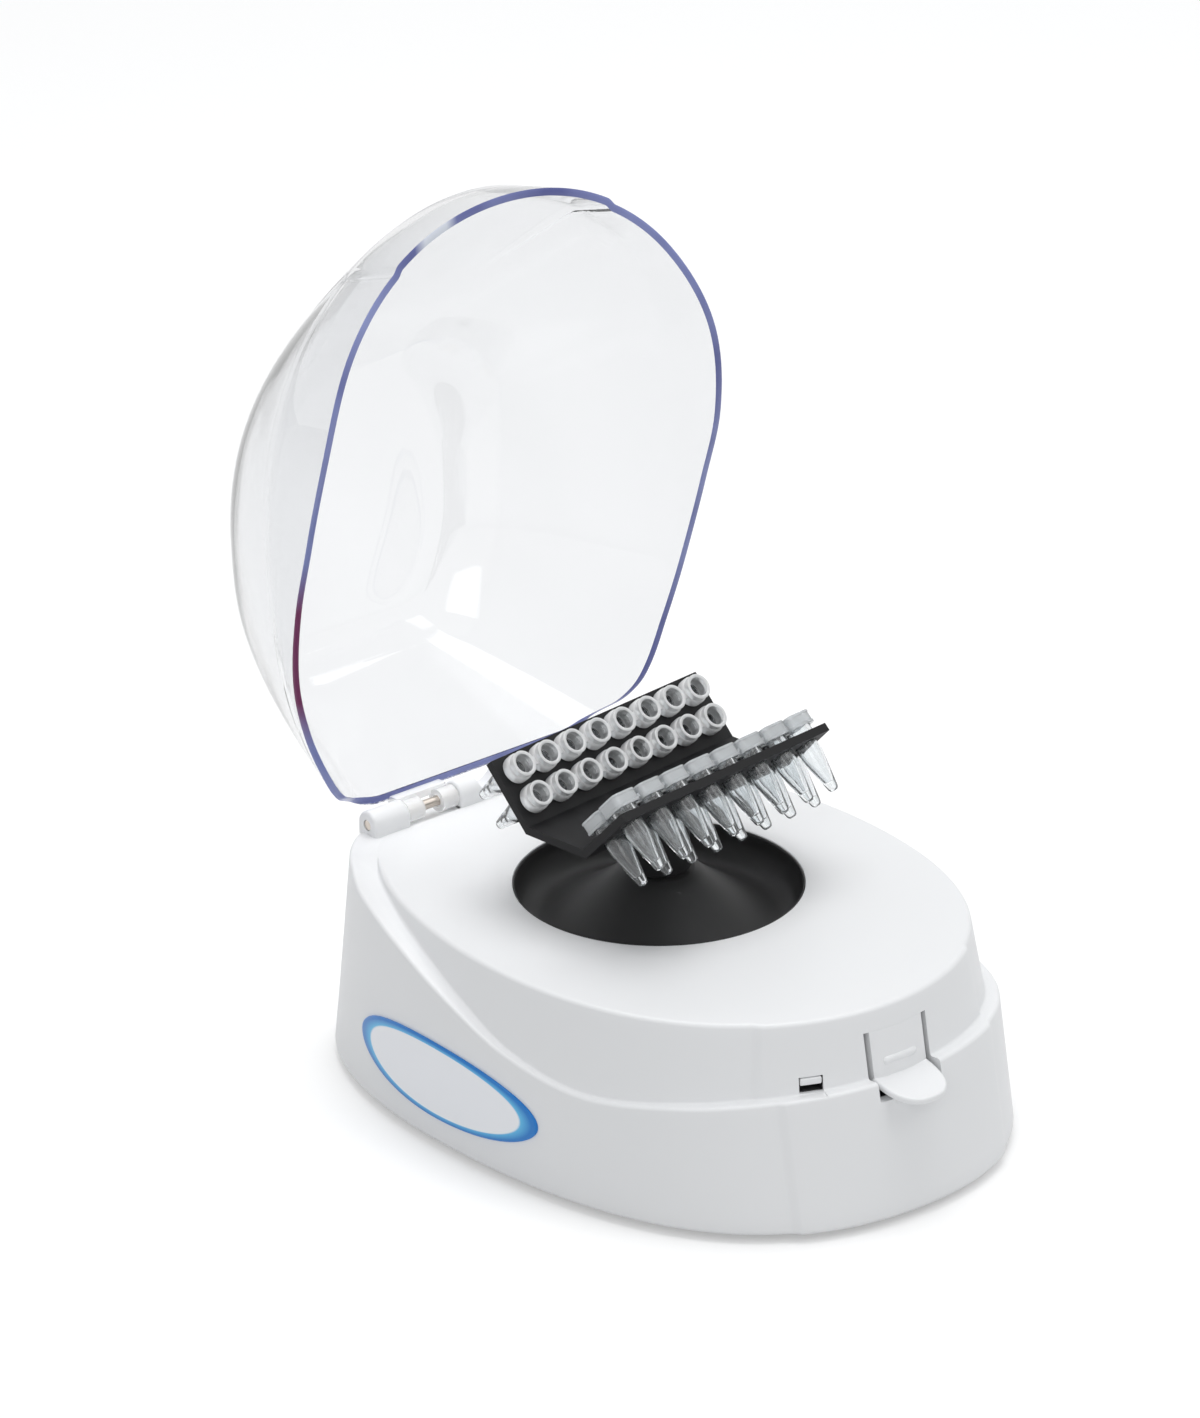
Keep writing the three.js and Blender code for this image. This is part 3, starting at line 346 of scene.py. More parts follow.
rings.append(level_ring(upper_at(np.full(len(z_wall), deck_under), -wall), deck_under))
rings.append(level_ring(upper_at(z_wall, -wall), np.minimum(z_wall - wall, deck_under - 0.1)))
rings.append(level_ring(skirt_at(z_skirt, -wall), np.minimum(z_skirt - wall, deck_under - 0.2)))
rings.append(level_ring(skirt_at(np.full(len(z_skirt), skirt_low), -wall), skirt_low))
housing = mesh_of_rings("housing_shell", rings, close_loop=True)

nose_ledge = deck_height - float(ledge_drop([-deck_plan["front"]])[0])
slot_top, tongue_half, slot_wide, latch_dip = nose_ledge + 12, 8.5, 1.6, 4.4
cut(housing, box_piece("latch_gap", (-tongue_half - slot_wide, -106, nose_ledge - latch_dip),
                       (tongue_half + slot_wide, -83, slot_top)))
switch_x, window_half, window_deep, window_tall = -25.2, 3.1, 5, 4
switch_row = upper_at(np.full(len(deck_ring), nose_ledge + 2))
left_front = [k for k in range(len(switch_row)) if switch_row[k][1] < 0 and switch_row[k][0] < 0]
near = min(left_front, key=lambda k: abs(switch_row[k][0] - switch_x))
lean = switch_row[near + 1] - switch_row[near - 1]
lean /= np.linalg.norm(lean)
window = box_piece("switch_window", (-window_half, -window_deep, nose_ledge),
                   (window_half, window_deep, nose_ledge + window_tall))
turn = Matrix.Rotation(math.atan2(lean[1], lean[0]), 4, "Z")
window.data.transform(Matrix.Translation(-spindle))
window.data.transform(Matrix.Translation(spindle + Vector((*switch_row[near], 0)) * mm) @ turn)
cut(housing, window)
pin_y, pin_z, pocket_near, pocket_far = 69.0, 56.4, 10.5, 27.1
for side in (-1, 1):
    x = sorted((side * pocket_near, side * pocket_far))
    cut(housing, box_piece("bracket_pocket", (x[0], pin_y - 3.6, pin_z - 3.6), (x[1], pin_y + 7.4, pin_z + 7.4)))
inlet_x, inlet_z, inlet_radius = 18, 18, 4.3
inlet_y = (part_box("power_inlet")[0].y - spindle.y) / mm
cut(housing, rod_piece("inlet_hole", (inlet_x, inlet_y - 6, inlet_z), (inlet_x, inlet_y + 20, inlet_z), inlet_radius))
smooth(housing, 35)
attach(housing, "base")

# Moulded grain: the fine even texture that an injection mould leaves on satin plastic, with slow
# changes of gloss where the melt flowed. It gives a height, a roughness and a slight shade.
grain = bpy.data.node_groups.new("moulded_grain", "ShaderNodeTree")
for socket, kind, value in (("Grain", "NodeSocketFloat", 1400.0), ("Low Roughness", "NodeSocketFloat", 0.35),
                            ("High Roughness", "NodeSocketFloat", 0.5)):
    grain.interface.new_socket(socket, in_out="INPUT", socket_type=kind).default_value = value
for socket in ("Height", "Roughness", "Shade"):
    grain.interface.new_socket(socket, in_out="OUTPUT", socket_type="NodeSocketFloat")
g_in, g_out = grain.nodes.new("NodeGroupInput"), grain.nodes.new("NodeGroupOutput")
g_place = grain.nodes.new("ShaderNodeTexCoord")
g_fine = grain.nodes.new("ShaderNodeTexNoise")
g_fine.inputs["Detail"].default_value = 3
g_flow = grain.nodes.new("ShaderNodeTexNoise")
g_flow.inputs["Scale"].default_value = 14
g_flow.inputs["Detail"].default_value = 2
g_rough = grain.nodes.new("ShaderNodeMapRange")
grain.links.new(g_place.outputs["Object"], g_fine.inputs["Vector"])
grain.links.new(g_place.outputs["Object"], g_flow.inputs["Vector"])
grain.links.new(g_in.outputs["Grain"], g_fine.inputs["Scale"])
grain.links.new(g_flow.outputs["Fac"], g_rough.inputs["Value"])
grain.links.new(g_in.outputs["Low Roughness"], g_rough.inputs["To Min"])
grain.links.new(g_in.outputs["High Roughness"], g_rough.inputs["To Max"])
grain.links.new(g_fine.outputs["Fac"], g_out.inputs["Height"])
grain.links.new(g_rough.outputs["Result"], g_out.inputs["Roughness"])
grain.links.new(g_flow.outputs["Fac"], g_out.inputs["Shade"])


def moulded(name, colour, shadow_colour, low, high, grain_scale=1400.0, bump=0.04, depth=0.00004):
    made = bpy.data.materials.new(name)
    made.use_nodes = True
    nodes, links = made.node_tree.nodes, made.node_tree.links
    bsdf = nodes["Principled BSDF"]
    effect = nodes.new("ShaderNodeGroup")
    effect.node_tree = grain
    effect.inputs["Grain"].default_value = grain_scale
    effect.inputs["Low Roughness"].default_value = low
    effect.inputs["High Roughness"].default_value = high
    tint = nodes.new("ShaderNodeMix")
    tint.data_type = "RGBA"
    tint.inputs["A"].default_value = (*colour, 1)
    tint.inputs["B"].default_value = (*shadow_colour, 1)
    relief = nodes.new("ShaderNodeBump")
    relief.inputs["Strength"].default_value = bump
    relief.inputs["Distance"].default_value = depth
    links.new(effect.outputs["Shade"], tint.inputs["Factor"])
    links.new(tint.outputs["Result"], bsdf.inputs["Base Color"])
    links.new(effect.outputs["Roughness"], bsdf.inputs["Roughness"])
    links.new(effect.outputs["Height"], relief.inputs["Height"])
    links.new(relief.outputs["Normal"], bsdf.inputs["Normal"])
    return made


def dress(piece, material):
    piece.data.materials.clear()
    piece.data.materials.append(material)
    return piece


shell_white = moulded("shell_white", (0.86, 0.865, 0.875), (0.83, 0.84, 0.85), 0.34, 0.46)
dress(housing, shell_white)

# Hinge ridge: a rounded rail along the rear of the deck, moulded with the housing. It is cut for
# the two clear lid brackets, and scooped out in the middle. Its ends show the bores of the pins.
ridge_half, ridge_round, ridge_low = 38.6, 3.7, deck_height - 1.4
bore_start, bore_end, bore_radius, scoop_radius = 6.3, 45, 1.45, 4.5


def ridge_piece(name, x0, x1):
    arc = np.linspace(0, np.pi, 25)
    profile = [(pin_y + ridge_round, ridge_low)]
    profile += [(pin_y + ridge_round * math.cos(a), pin_z + ridge_round * math.sin(a)) for a in arc]
    profile += [(pin_y - ridge_round, ridge_low)]
    rings = [np.array([(x, y, z) for y, z in profile]) for x in (x0, x1)]
    return settle(round_edges(mesh_of_rings(name, rings, close_ends=True), 0.8, 4, 50))


ridge_parts = [
    ridge_piece("hinge_ridge_left", -ridge_half, -pocket_far),
    ridge_piece("hinge_ridge_middle", -pocket_near, pocket_near),
    ridge_piece("hinge_ridge_right", pocket_far, ridge_half),
]
scoop_z = pin_z + ridge_round
cut(ridge_parts[1], rod_piece("scoop", (0, pin_y - 8, scoop_z), (0, pin_y + 8, scoop_z), scoop_radius))
for part in ridge_parts:
    for start, end in ((-bore_end, -bore_start), (bore_start, bore_end)):
        cut(part, rod_piece("pin_bore", (start, pin_y, pin_z), (end, pin_y, pin_z), bore_radius))
    smooth(part, 40)
    dress(part, shell_white)
    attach(part, "base")
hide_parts("housing", "deck_ring")

# Latch: a springy tongue of the nose wall between two slots, moulded with the housing. It carries a
# half-round thumb tab with a rounded lip, and a short catch ridge that holds the lid shut.
tab_half, tab_reach, tab_droop, tab_square = 8.9, 12.3, math.radians(13), 0.8
tab_middle = np.array((0, -4))
root_y = -deck_plan["front"] - nose_pop - (deck_height - nose_ledge) * upper_draft


def nose_y(x, z, distance=0.0):
    row = upper_at(np.full(len(deck_ring), z), distance)
    front = row[(row[:, 1] < -60) & (np.abs(row[:, 0]) < 20)]
    front = front[np.argsort(front[:, 0])]
    return float(np.interp(x, front[:, 0], front[:, 1]))


def wall_strip(name, half, z_levels, outside, inside):
    rings = []
    for x in np.linspace(-half, half, 19):
        loop = [(x, nose_y(x, z, outside), z) for z in z_levels]
        loop += [(x, nose_y(x, z, inside), z) for z in reversed(z_levels)]
        rings.append(np.array(loop))
    return mesh_of_rings(name, rings, close_ends=True)


def join_pieces(name, parts):
    work = bmesh.new()
    for part in parts:
        work.from_mesh(part.data)
        bpy.data.objects.remove(part)
    mesh = bpy.data.meshes.new(name)
    work.to_mesh(mesh)
    work.free()
    made = bpy.data.objects.new(name, mesh)
    scene.collection.objects.link(made)
    return made


tongue_levels = list(np.linspace(nose_ledge - 2.1, slot_top - 0.3, 6))
tongue = wall_strip("tongue", tongue_half - 0.02, tongue_levels, 0.0, -wall)
outline = [(-tab_half, 1.0)]
for a in np.linspace(np.pi, 2 * np.pi, 61):
    outline.append((math.copysign(tab_half * abs(math.cos(a)) ** tab_square, math.cos(a)),
                    -tab_reach * abs(math.sin(a)) ** tab_square))
outline.append((tab_half, 1.0))
outline = np.array(outline)
rings = []
for size, depth in ((0.05, -1.75), (0.93, -1.75), (0.975, -1.6), (0.995, -1.25), (1.0, -0.9), (0.995, -0.5),
                    (0.975, -0.16), (0.94, 0.0), (0.89, -0.06), (0.8, -0.12), (0.05, -0.12)):
    flat = (outline - tab_middle) * size + tab_middle
    rings.append(np.array([(x, root_y + y * math.cos(tab_droop) - depth * math.sin(tab_droop),
                            nose_ledge + y * math.sin(tab_droop) + depth * math.cos(tab_droop)) for x, y in flat]))
tab = mesh_of_rings("tab", rings, close_ends=True)
catch_z, catch_sunk = nose_ledge + 3.6, -0.5
angle = np.linspace(0, 2 * np.pi, 20, endpoint=False)
rings = []
for x, r in ((-5.4, 0.3), (-5.3, 0.7), (-5.0, 1.0), (-4.4, 1.15), (4.4, 1.15), (5.0, 1.0), (5.3, 0.7), (5.4, 0.3)):
    y = nose_y(x, catch_z, catch_sunk)
    rings.append(np.column_stack([np.full(20, x), y + r * np.cos(angle), catch_z + r * np.sin(angle)]))
catch = mesh_of_rings("catch", rings, close_ends=True)
latch = smooth(join_pieces("latch", [tongue, tab, catch]), 40)
dress(latch, shell_white)
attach(latch, "latch")
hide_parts("latch_tongue")

# Flexing line: the thin strip of the housing at the top of the tongue, in the same white plastic. The
# tongue bends here, so the strip is moulded thinner than the wall and shows as a faint crease.
skin_levels = [slot_top - 0.42, slot_top - 0.3, slot_top + 0.05]
skin = smooth(wall_strip("flexing_line", tongue_half, skin_levels, -0.06, -1.0), 30)
dress(skin, shell_white)
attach(skin, "base")

# Lid switch: a white bar with rounded edges, sliding in a black guide behind its window in the wall. A thin black
# lining round the window and behind the bar is painted shade: it stands for the dark inside of the wall.
# This dark material serves the power inlet and the switch guide, and also the painted shade in the switch window.
dark_plastic = moulded("dark_plastic", (0.02, 0.02, 0.022), (0.03, 0.03, 0.032), 0.4, 0.55)
window_place = (Matrix.Translation(spindle + Vector((*switch_row[near], 0)) * mm) @ turn
                @ Matrix.Translation(-spindle))
bar = box_piece("switch_bar", (-2.8, 0.05, nose_ledge + 1.8), (2.8, 6.05, nose_ledge + 3.7))
bar.data.transform(window_place)
smooth(settle(round_edges(bar, 0.45, 4)), 60)
dress(bar, shell_white)
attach(bar, "switch_lever")
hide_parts("lid_switch_lever")
# Painted shade: black strips in the window below, beside and behind the bar, where the inside of the wall lies in
# shade.
window_shade_lining = join_pieces("switch_window_shade", [
    box_piece("window_shade_side", (x0, y0, nose_ledge + z0), (x1, 4.2, nose_ledge + z1))
    for x0, x1, y0, z0, z1 in ((-3.05, 3.05, 0.5, 0.03, 0.3), (-3.05, -2.9, 0.5, 0.3, 3.95),
                               (2.9, 3.05, 0.5, 0.3, 3.95), (-3.05, 3.05, 4.0, 0.3, 1.5))
])
window_shade_lining.data.transform(window_place)
dress(window_shade_lining, dark_plastic)
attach(window_shade_lining, "base")

# Side label: a bare oval of printed film on the left flank of the skirt, with a blue border that
# is thick at both ends and thin above and below a pale middle.
label_half, label_tall, label_y, label_z = 36.0, 10.2, 3.0, deck_height - 34.6
skirt_levels = np.linspace(4, 40, 37)
flank_rows = []
for z in skirt_levels:
    row = skirt_at(np.full(len(deck_ring), z))
    left = row[row[:, 0] < -20]
    flank_rows.append(left[np.argsort(left[:, 1])])


def flank_x(y, z):
    level = np.interp(z, skirt_levels, np.arange(len(skirt_levels)))
    low = int(level)
    high = min(low + 1, len(skirt_levels) - 1)
    a = np.interp(y, flank_rows[low][:, 1], flank_rows[low][:, 0])
    b = np.interp(y, flank_rows[high][:, 1], flank_rows[high][:, 0])
    return a + (b - a) * (level - low)


rings = []
for size, proud in ((0.999, 0.02), (1.0, 0.3), (0.997, 0.6), (0.985, 0.7), (0.93, 0.7), (0.85, 0.7), (0.7, 0.7),
                    (0.5, 0.7), (0.3, 0.7), (0.1, 0.7), (0.002, 0.7)):
    ring = []
    for a in np.linspace(0, 2 * np.pi, 96, endpoint=False):
        y, z = label_y + label_half * size * math.cos(a), label_z + label_tall * size * math.sin(a)
        ring.append((flank_x(y, z) - proud, y, z))
    rings.append(np.array(ring))
label = smooth(mesh_of_rings("oval_label", rings, close_ends=True), 50)
film = bpy.data.materials.new("printed_film")
film.use_nodes = True
film_nodes, film_links = film.node_tree.nodes, film.node_tree.links
film_bsdf = film_nodes["Principled BSDF"]
film_bsdf.inputs["Roughness"].default_value = 0.3
film_place = film_nodes.new("ShaderNodeTexCoord")


def oval_mask(half_long, half_tall, softness):
    moved = film_nodes.new("ShaderNodeVectorMath")
    moved.operation = "SUBTRACT"
    moved.inputs[1].default_value = (0, spindle.y + label_y * mm, label_z * mm)
    scaled = film_nodes.new("ShaderNodeVectorMath")
    scaled.operation = "MULTIPLY"
    scaled.inputs[1].default_value = (0, 1 / (half_long * mm), 1 / (half_tall * mm))
    reach = film_nodes.new("ShaderNodeVectorMath")
    reach.operation = "LENGTH"
    edge = film_nodes.new("ShaderNodeMapRange")
    edge.inputs["From Min"].default_value = 1 - softness
    edge.inputs["From Max"].default_value = 1 + softness
    film_links.new(film_place.outputs["Object"], moved.inputs[0])
    film_links.new(moved.outputs[0], scaled.inputs[0])
    film_links.new(scaled.outputs[0], reach.inputs[0])
    film_links.new(reach.outputs["Value"], edge.inputs["Value"])
    return edge.outputs["Result"]


film_blue = film_nodes.new("ShaderNodeMix")
film_blue.data_type = "RGBA"
film_blue.inputs["A"].default_value = (0.1, 0.5, 0.84, 1)
film_blue.inputs["B"].default_value = (0.0, 0.19, 0.6, 1)
film_mix = film_nodes.new("ShaderNodeMix")
film_mix.data_type = "RGBA"
film_mix.inputs["A"].default_value = (0.92, 0.935, 0.97, 1)
film_links.new(oval_mask(32.8, 9.4, 0.05), film_blue.inputs["Factor"])
film_links.new(film_blue.outputs["Result"], film_mix.inputs["B"])
film_links.new(oval_mask(30.6, 8.9, 0.012), film_mix.inputs["Factor"])
film_links.new(film_mix.outputs["Result"], film_bsdf.inputs["Base Color"])
dress(label, film)
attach(label, "base")
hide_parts("side_label")

# Chamber bowl: a shallow channel in satin black plastic. It hangs under the deck by its flange, its
# lip shows in the mouth, and it rises in one smooth sweep to a hump round the spindle.
bowl_points = [(36.3, 53.4), (36.1, 49.8), (34.5, 46.3), (31.4, 44.8), (27.4, 45.9), (21.6, 49.4), (15.6, 53.5),
               (11.4, 56.7), (9.0, 58.0)]


def swept(points, steps):
    points = [np.array(p, float) for p in points]
    ends = [2 * points[0] - points[1]] + points + [2 * points[-1] - points[-2]]
    made = []
    for a, b, c, d in zip(ends, ends[1:], ends[2:], ends[3:]):
        for t in np.linspace(0, 1, steps, endpoint=False):
            made.append(0.5 * (2 * b + (c - a) * t + (2 * a - 5 * b + 4 * c - d) * t ** 2
                               + (3 * b - a - 3 * c + d) * t ** 3))
    made.append(points[-1])
    return made


def turned(name, profile, sides=96, place=(0, 0)):
    angle = np.linspace(0, 2 * np.pi, sides, endpoint=False)
    rings = [np.column_stack([place[0] + r * np.cos(angle), place[1] + r * np.sin(angle), np.full(sides, z)])
             for r, z in profile]
    return mesh_of_rings(name, rings, close_loop=True)


bowl_inside = swept(bowl_points, 8)
bowl_profile = [(46.0, 49.6), (46.0, 51.5), (36.7, 51.5), (36.7, 53.75), (36.5, 53.75)] + bowl_inside + [
    (8.2, 58.0), (4.3, 58.0), (4.0, 57.8), (4.0, 56.2), (8.0, 55.6), (12.0, 53.0), (22.0, 46.6),
    (28.0, 43.6), (32.0, 42.8), (36.4, 44.8), (38.0, 49.6)]
bowl = smooth(turned("bowl_liner", bowl_profile, 128), 40)
bowl_black = moulded("bowl_black", (0.03, 0.03, 0.031), (0.036, 0.036, 0.037), 0.44, 0.54, 900.0, 0.05)
bowl_black.node_tree.nodes["Principled BSDF"].inputs["Specular IOR Level"].default_value = 0.26
dress(bowl, bowl_black)
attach(bowl, "base")
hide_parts("chamber_bowl", "bowl_hump")

# Rotor: a folded trough in satin black plastic on a short turned hub. The holes in its two leaning
# panels take the tube strips. The hub is pressed on the steel spindle.
rotor_turn = math.radians(6)
floor_z, floor_half, panel_slope, panel_thick = 76.4, 9.4, 19.0, 2.2
panel_lean = math.radians(47)
rotor_black = moulded("rotor_black", (0.007, 0.007, 0.008), (0.011, 0.011, 0.012), 0.48, 0.62, 700.0, 0.08)
rotor_black.node_tree.nodes["Principled BSDF"].inputs["Specular IOR Level"].default_value = 0.22
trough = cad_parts["rotor_trough"]
dress(round_edges(trough, 0.25, 2, 40), rotor_black)
hub = smooth(turned("rotor_boss", [(2.0, 58.7), (7.9, 58.7), (8.1, 58.9), (8.0, 61.5), (7.8, 64.5), (7.8, 74.8),
                                   (8.4, 75.9), (9.2, 76.35), (2.0, 76.35)], 64), 35)
dress(hub, rotor_black)
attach(hub, "rotor")
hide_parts("rotor_hub")

# Tube strips: eight thin-walled conical tubes in a row, moulded in clear plastic and joined by webs at
# their collars. Two strips hang in each panel, mouths to the inside. The collars of the open rear
# strips and all the webs look cloudier than the tubes.
tube_pitch, row_from_edge, row_spacing = 9.0, 4.5, 8.5
tube_clear = bpy.data.materials.new("tube_clear")
tube_clear.use_nodes = True
tube_bsdf = tube_clear.node_tree.nodes["Principled BSDF"]
tube_bsdf.inputs["Base Color"].default_value = (0.9, 0.92, 0.93, 1)
tube_bsdf.inputs["Roughness"].default_value = 0.05
tube_bsdf.inputs["IOR"].default_value = 1.42
tube_bsdf.inputs["Transmission Weight"].default_value = 0.97
tube_nodes, tube_links = tube_clear.node_tree.nodes, tube_clear.node_tree.links
tube_noise = tube_nodes.new("ShaderNodeTexNoise")
tube_noise.inputs["Scale"].default_value = 420
tube_relief = tube_nodes.new("ShaderNodeBump")
tube_relief.inputs["Strength"].default_value = 0.05
tube_relief.inputs["Distance"].default_value = 0.00003
tube_where = tube_nodes.new("ShaderNodeTexCoord")
tube_links.new(tube_where.outputs["Object"], tube_noise.inputs["Vector"])
tube_links.new(tube_noise.outputs["Fac"], tube_relief.inputs["Height"])
tube_links.new(tube_relief.outputs["Normal"], tube_bsdf.inputs["Normal"])

tube_frosted = tube_clear.copy()
tube_frosted.name = "tube_frosted"
frosted_bsdf = tube_frosted.node_tree.nodes["Principled BSDF"]
frosted_bsdf.inputs["Base Color"].default_value = (0.97, 0.975, 0.98, 1)
frosted_bsdf.inputs["Roughness"].default_value = 0.12
frosted_bsdf.inputs["Transmission Weight"].default_value = 0.38

tube_top, tube_long, frost_from = 4.6, 20.5, -0.2
tube_tip = tube_top - tube_long
tube_profile = [
    (0.02, tube_tip), (0.8, tube_tip + 0.08), (1.15, tube_tip + 0.35), (1.35, tube_tip + 0.8), (2.98, -5.6),
    (3.0, -5.0), (3.0, -0.05), (3.5, 0.0), (3.7, 0.2), (3.7, 2.35), (3.5, 2.6), (3.25, 2.7), (3.25, 4.2),
    (3.4, 4.35), (3.4, 4.5), (3.2, 4.6), (2.7, 4.6), (2.5, 4.45), (2.5, -5.0), (2.46, -5.7), (0.95, tube_tip + 3.0),
    (0.7, tube_tip + 2.7), (0.02, tube_tip + 2.6),
]


def panel_matrix(side, row):
    from_fold = panel_slope - row_from_edge - row * row_spacing
    y = side * (floor_half + from_fold * math.cos(panel_lean))
    z = floor_z + panel_thick + from_fold * math.sin(panel_lean)
    place = Matrix.Translation(spindle) @ Matrix.Rotation(rotor_turn, 4, "Z")
    return place @ Matrix.Translation((0, y * mm, z * mm)) @ Matrix.Rotation(side * panel_lean, 4, "X")


def joined(name, parts, matrix):
    for part in parts:
        part.data.transform(Matrix.Translation(-spindle))
    made = join_pieces(name, parts)
    made.data.transform(matrix)
    return made


places = [(k - 3.5) * tube_pitch for k in range(8)]
for side, where in ((-1, "front"), (1, "rear")):
    for row, height in ((0, "upper"), (1, "lower")):
        parts = [turned("tube", tube_profile, 28, (x, 0)) for x in places]
        for part in parts:
            part.data.materials.append(tube_clear)
            part.data.materials.append(tube_frosted)
            for face in part.data.polygons:
                face.material_index = 1 if side > 0 and face.center.z > frost_from * mm else 0
        for x in places[:-1]:
            middle = x + tube_pitch / 2
            parts.append(box_piece("web", (middle - 1.4, -1.2, 1.6), (middle + 1.4, 1.2, 2.5)))
            for face in parts[-1].data.polygons:
                face.material_index = 1
        strip = smooth(joined(f"tubes_{where}_{height}", parts, panel_matrix(side, row)), 40)
        strip.data.materials.append(tube_clear)
        strip.data.materials.append(tube_frosted)
        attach(strip, "rotor")
        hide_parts(f"tube_strip_{where}_{height}")

# Cap strips: rows of flat caps pressed on the mouths of the two front strips. Each cap is a
# rounded square with a low rim and a pocket below, joined to the next by a thin web.
cap_clear = tube_clear.copy()
cap_clear.name = "cap_clear"
cap_bsdf = cap_clear.node_tree.nodes["Principled BSDF"]
cap_bsdf.inputs["Base Color"].default_value = (0.86, 0.885, 0.9, 1)
cap_bsdf.inputs["Roughness"].default_value = 0.07
cap_bsdf.inputs["Transmission Weight"].default_value = 0.62
cap_levels = (
    (0.1, 0.1, 4.9), (3.55, 3.55, 4.9), (3.6, 3.6, 2.7), (3.85, 3.85, 2.65), (3.85, 3.85, 1.8), (3.95, 1.5, 1.8),
    (4.05, 1.6, 2.0), (4.05, 1.6, 2.5), (3.9, 1.5, 2.6), (3.9, 1.5, 4.7), (4.05, 1.6, 4.8), (4.05, 1.6, 5.25),
    (3.9, 1.5, 5.4), (3.45, 1.3, 5.4), (3.35, 1.3, 5.1), (0.1, 0.1, 5.1),
)
for row, height in ((0, "upper"), (1, "lower")):
    parts = []
    for x in places:
        rings = []
        for half, bend, z in cap_levels:
            ring = []
            for corner in range(4):
                middle = corner * np.pi / 2 + np.pi / 4
                for a in np.linspace(corner * np.pi / 2, (corner + 1) * np.pi / 2, 7):
                    ring.append((x + math.copysign(half - bend, math.cos(middle)) + bend * math.cos(a),
                                 math.copysign(half - bend, math.sin(middle)) + bend * math.sin(a), z))
            rings.append(np.array(ring))
        parts.append(mesh_of_rings("cap", rings, close_ends=True))
    for x in places[:-1]:
        parts.append(box_piece("cap_web", (x + 4.0, -2.6, 2.65), (x + 5.0, 2.6, 3.55)))
    caps = smooth(joined(f"caps_front_{height}", parts, panel_matrix(-1, row)), 40)
    dress(caps, cap_clear)
    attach(caps, "rotor")
    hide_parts(f"cap_strip_front_{height}")

# Lid: a clear dome moulded in one piece, two millimetres thick. Its rim follows the ledge, with a
# notch and a fading crease at each side of the nose. Modelled shut, then swung open on the pins.
lid_rise, lid_standoff, lid_flare, lid_wall = 56.0, 2.8, 1.6, 2.0
lid_centre, side_taper, length_taper, side_power, corner_power = 20.0, 0.34, 0.4, 3.5, 8.0
open_angle, rim_gap, edge_low, straight_tall = math.radians(93.5), 0.95, 0.12, 7.2


def eased(value, low, high):
    t = np.clip((value - low) / (high - low), 0, 1)
    return t * t * (3 - 2 * t)


def lid_foot(pop):
    outline = teardrop(deck_plan, pop)
    near, far = pushed(outline, lid_standoff), pushed(outline, lid_standoff + lid_flare)
    back = eased(near[:, 1], deck_plan["widest"], deck_plan["widest"] + deck_plan["tail"])
    side = eased(np.abs(near[:, 0]), deck_plan["rear_half"], deck_plan["rear_half"] + deck_plan["corner"])
    share = (back * side)[:, None]
    return near * (1 - share) + far * share


foot_proud, foot_plain = lid_foot(nose_pop), lid_foot(0.0)
skirt_join = skirt_at(np.full(len(deck_ring), deck_height - 20.8))


def dome_row(z, inset, rounding=None):
    z = np.broadcast_to(np.asarray(z, float), len(deck_ring))
    fade = eased(z, deck_height + 4, deck_height + 34)[:, None]
    outline = foot_proud * (1 - fade) + foot_plain * fade
    down = np.clip((deck_height - z) / 26, 0, 1)[:, None]
    outline = outline * (1 - down) + skirt_join * down
    height = np.clip(z - deck_height, 0, None) / (lid_rise - inset)
    if rounding is None:
        rounding = np.clip(1 - height ** side_power, 0, 1) ** (1 / corner_power)
    points = pushed(outline, -inset)
    return np.column_stack([
        points[:, 0] * (1 - side_taper * height) * rounding,
        lid_centre + (points[:, 1] - lid_centre) * (1 - length_taper * height) * rounding,
        z,
    ])


def dome_rows(inset):
    rim = np.full(len(deck_ring), deck_height)
    for _ in range(8):
        rim = deck_height - ledge_drop(dome_row(rim, inset)[:, 1]) + rim_gap
    rows = []
    for share in np.linspace(0, 1, 7)[:-1]:
        rows.append(dome_row(rim + share * np.maximum(deck_height + straight_tall - rim, 0.02), inset))
    top = lid_rise - inset
    shoulder = (1 - 0.93 ** corner_power) ** (1 / side_power)
    for share in np.linspace(0, 1, 26):
        z = (deck_height + straight_tall) * (1 - share) + (deck_height + top * shoulder) * share
        rows.append(dome_row(z, inset))
    for r in np.linspace(0.93, 0.0, 22)[1:]:
        s = (1 - r ** corner_power) ** (1 / side_power)
        rows.append(dome_row(deck_height + top * s, inset, r if r > 0 else 0.004))
    return rows


outer_rows, inner_rows = dome_rows(0.0), dome_rows(lid_wall)
rim_outer, rim_inner = outer_rows[0], inner_rows[0]
dome_rings = inner_rows[::-1]
edge_in = rim_inner * 0.85 + rim_outer * 0.15 - (0, 0, edge_low)
edge_out = rim_inner * 0.15 + rim_outer * 0.85 - (0, 0, edge_low)
dome = mesh_of_rings("lid_dome", dome_rings + [edge_in, edge_out] + outer_rows, close_ends=True)

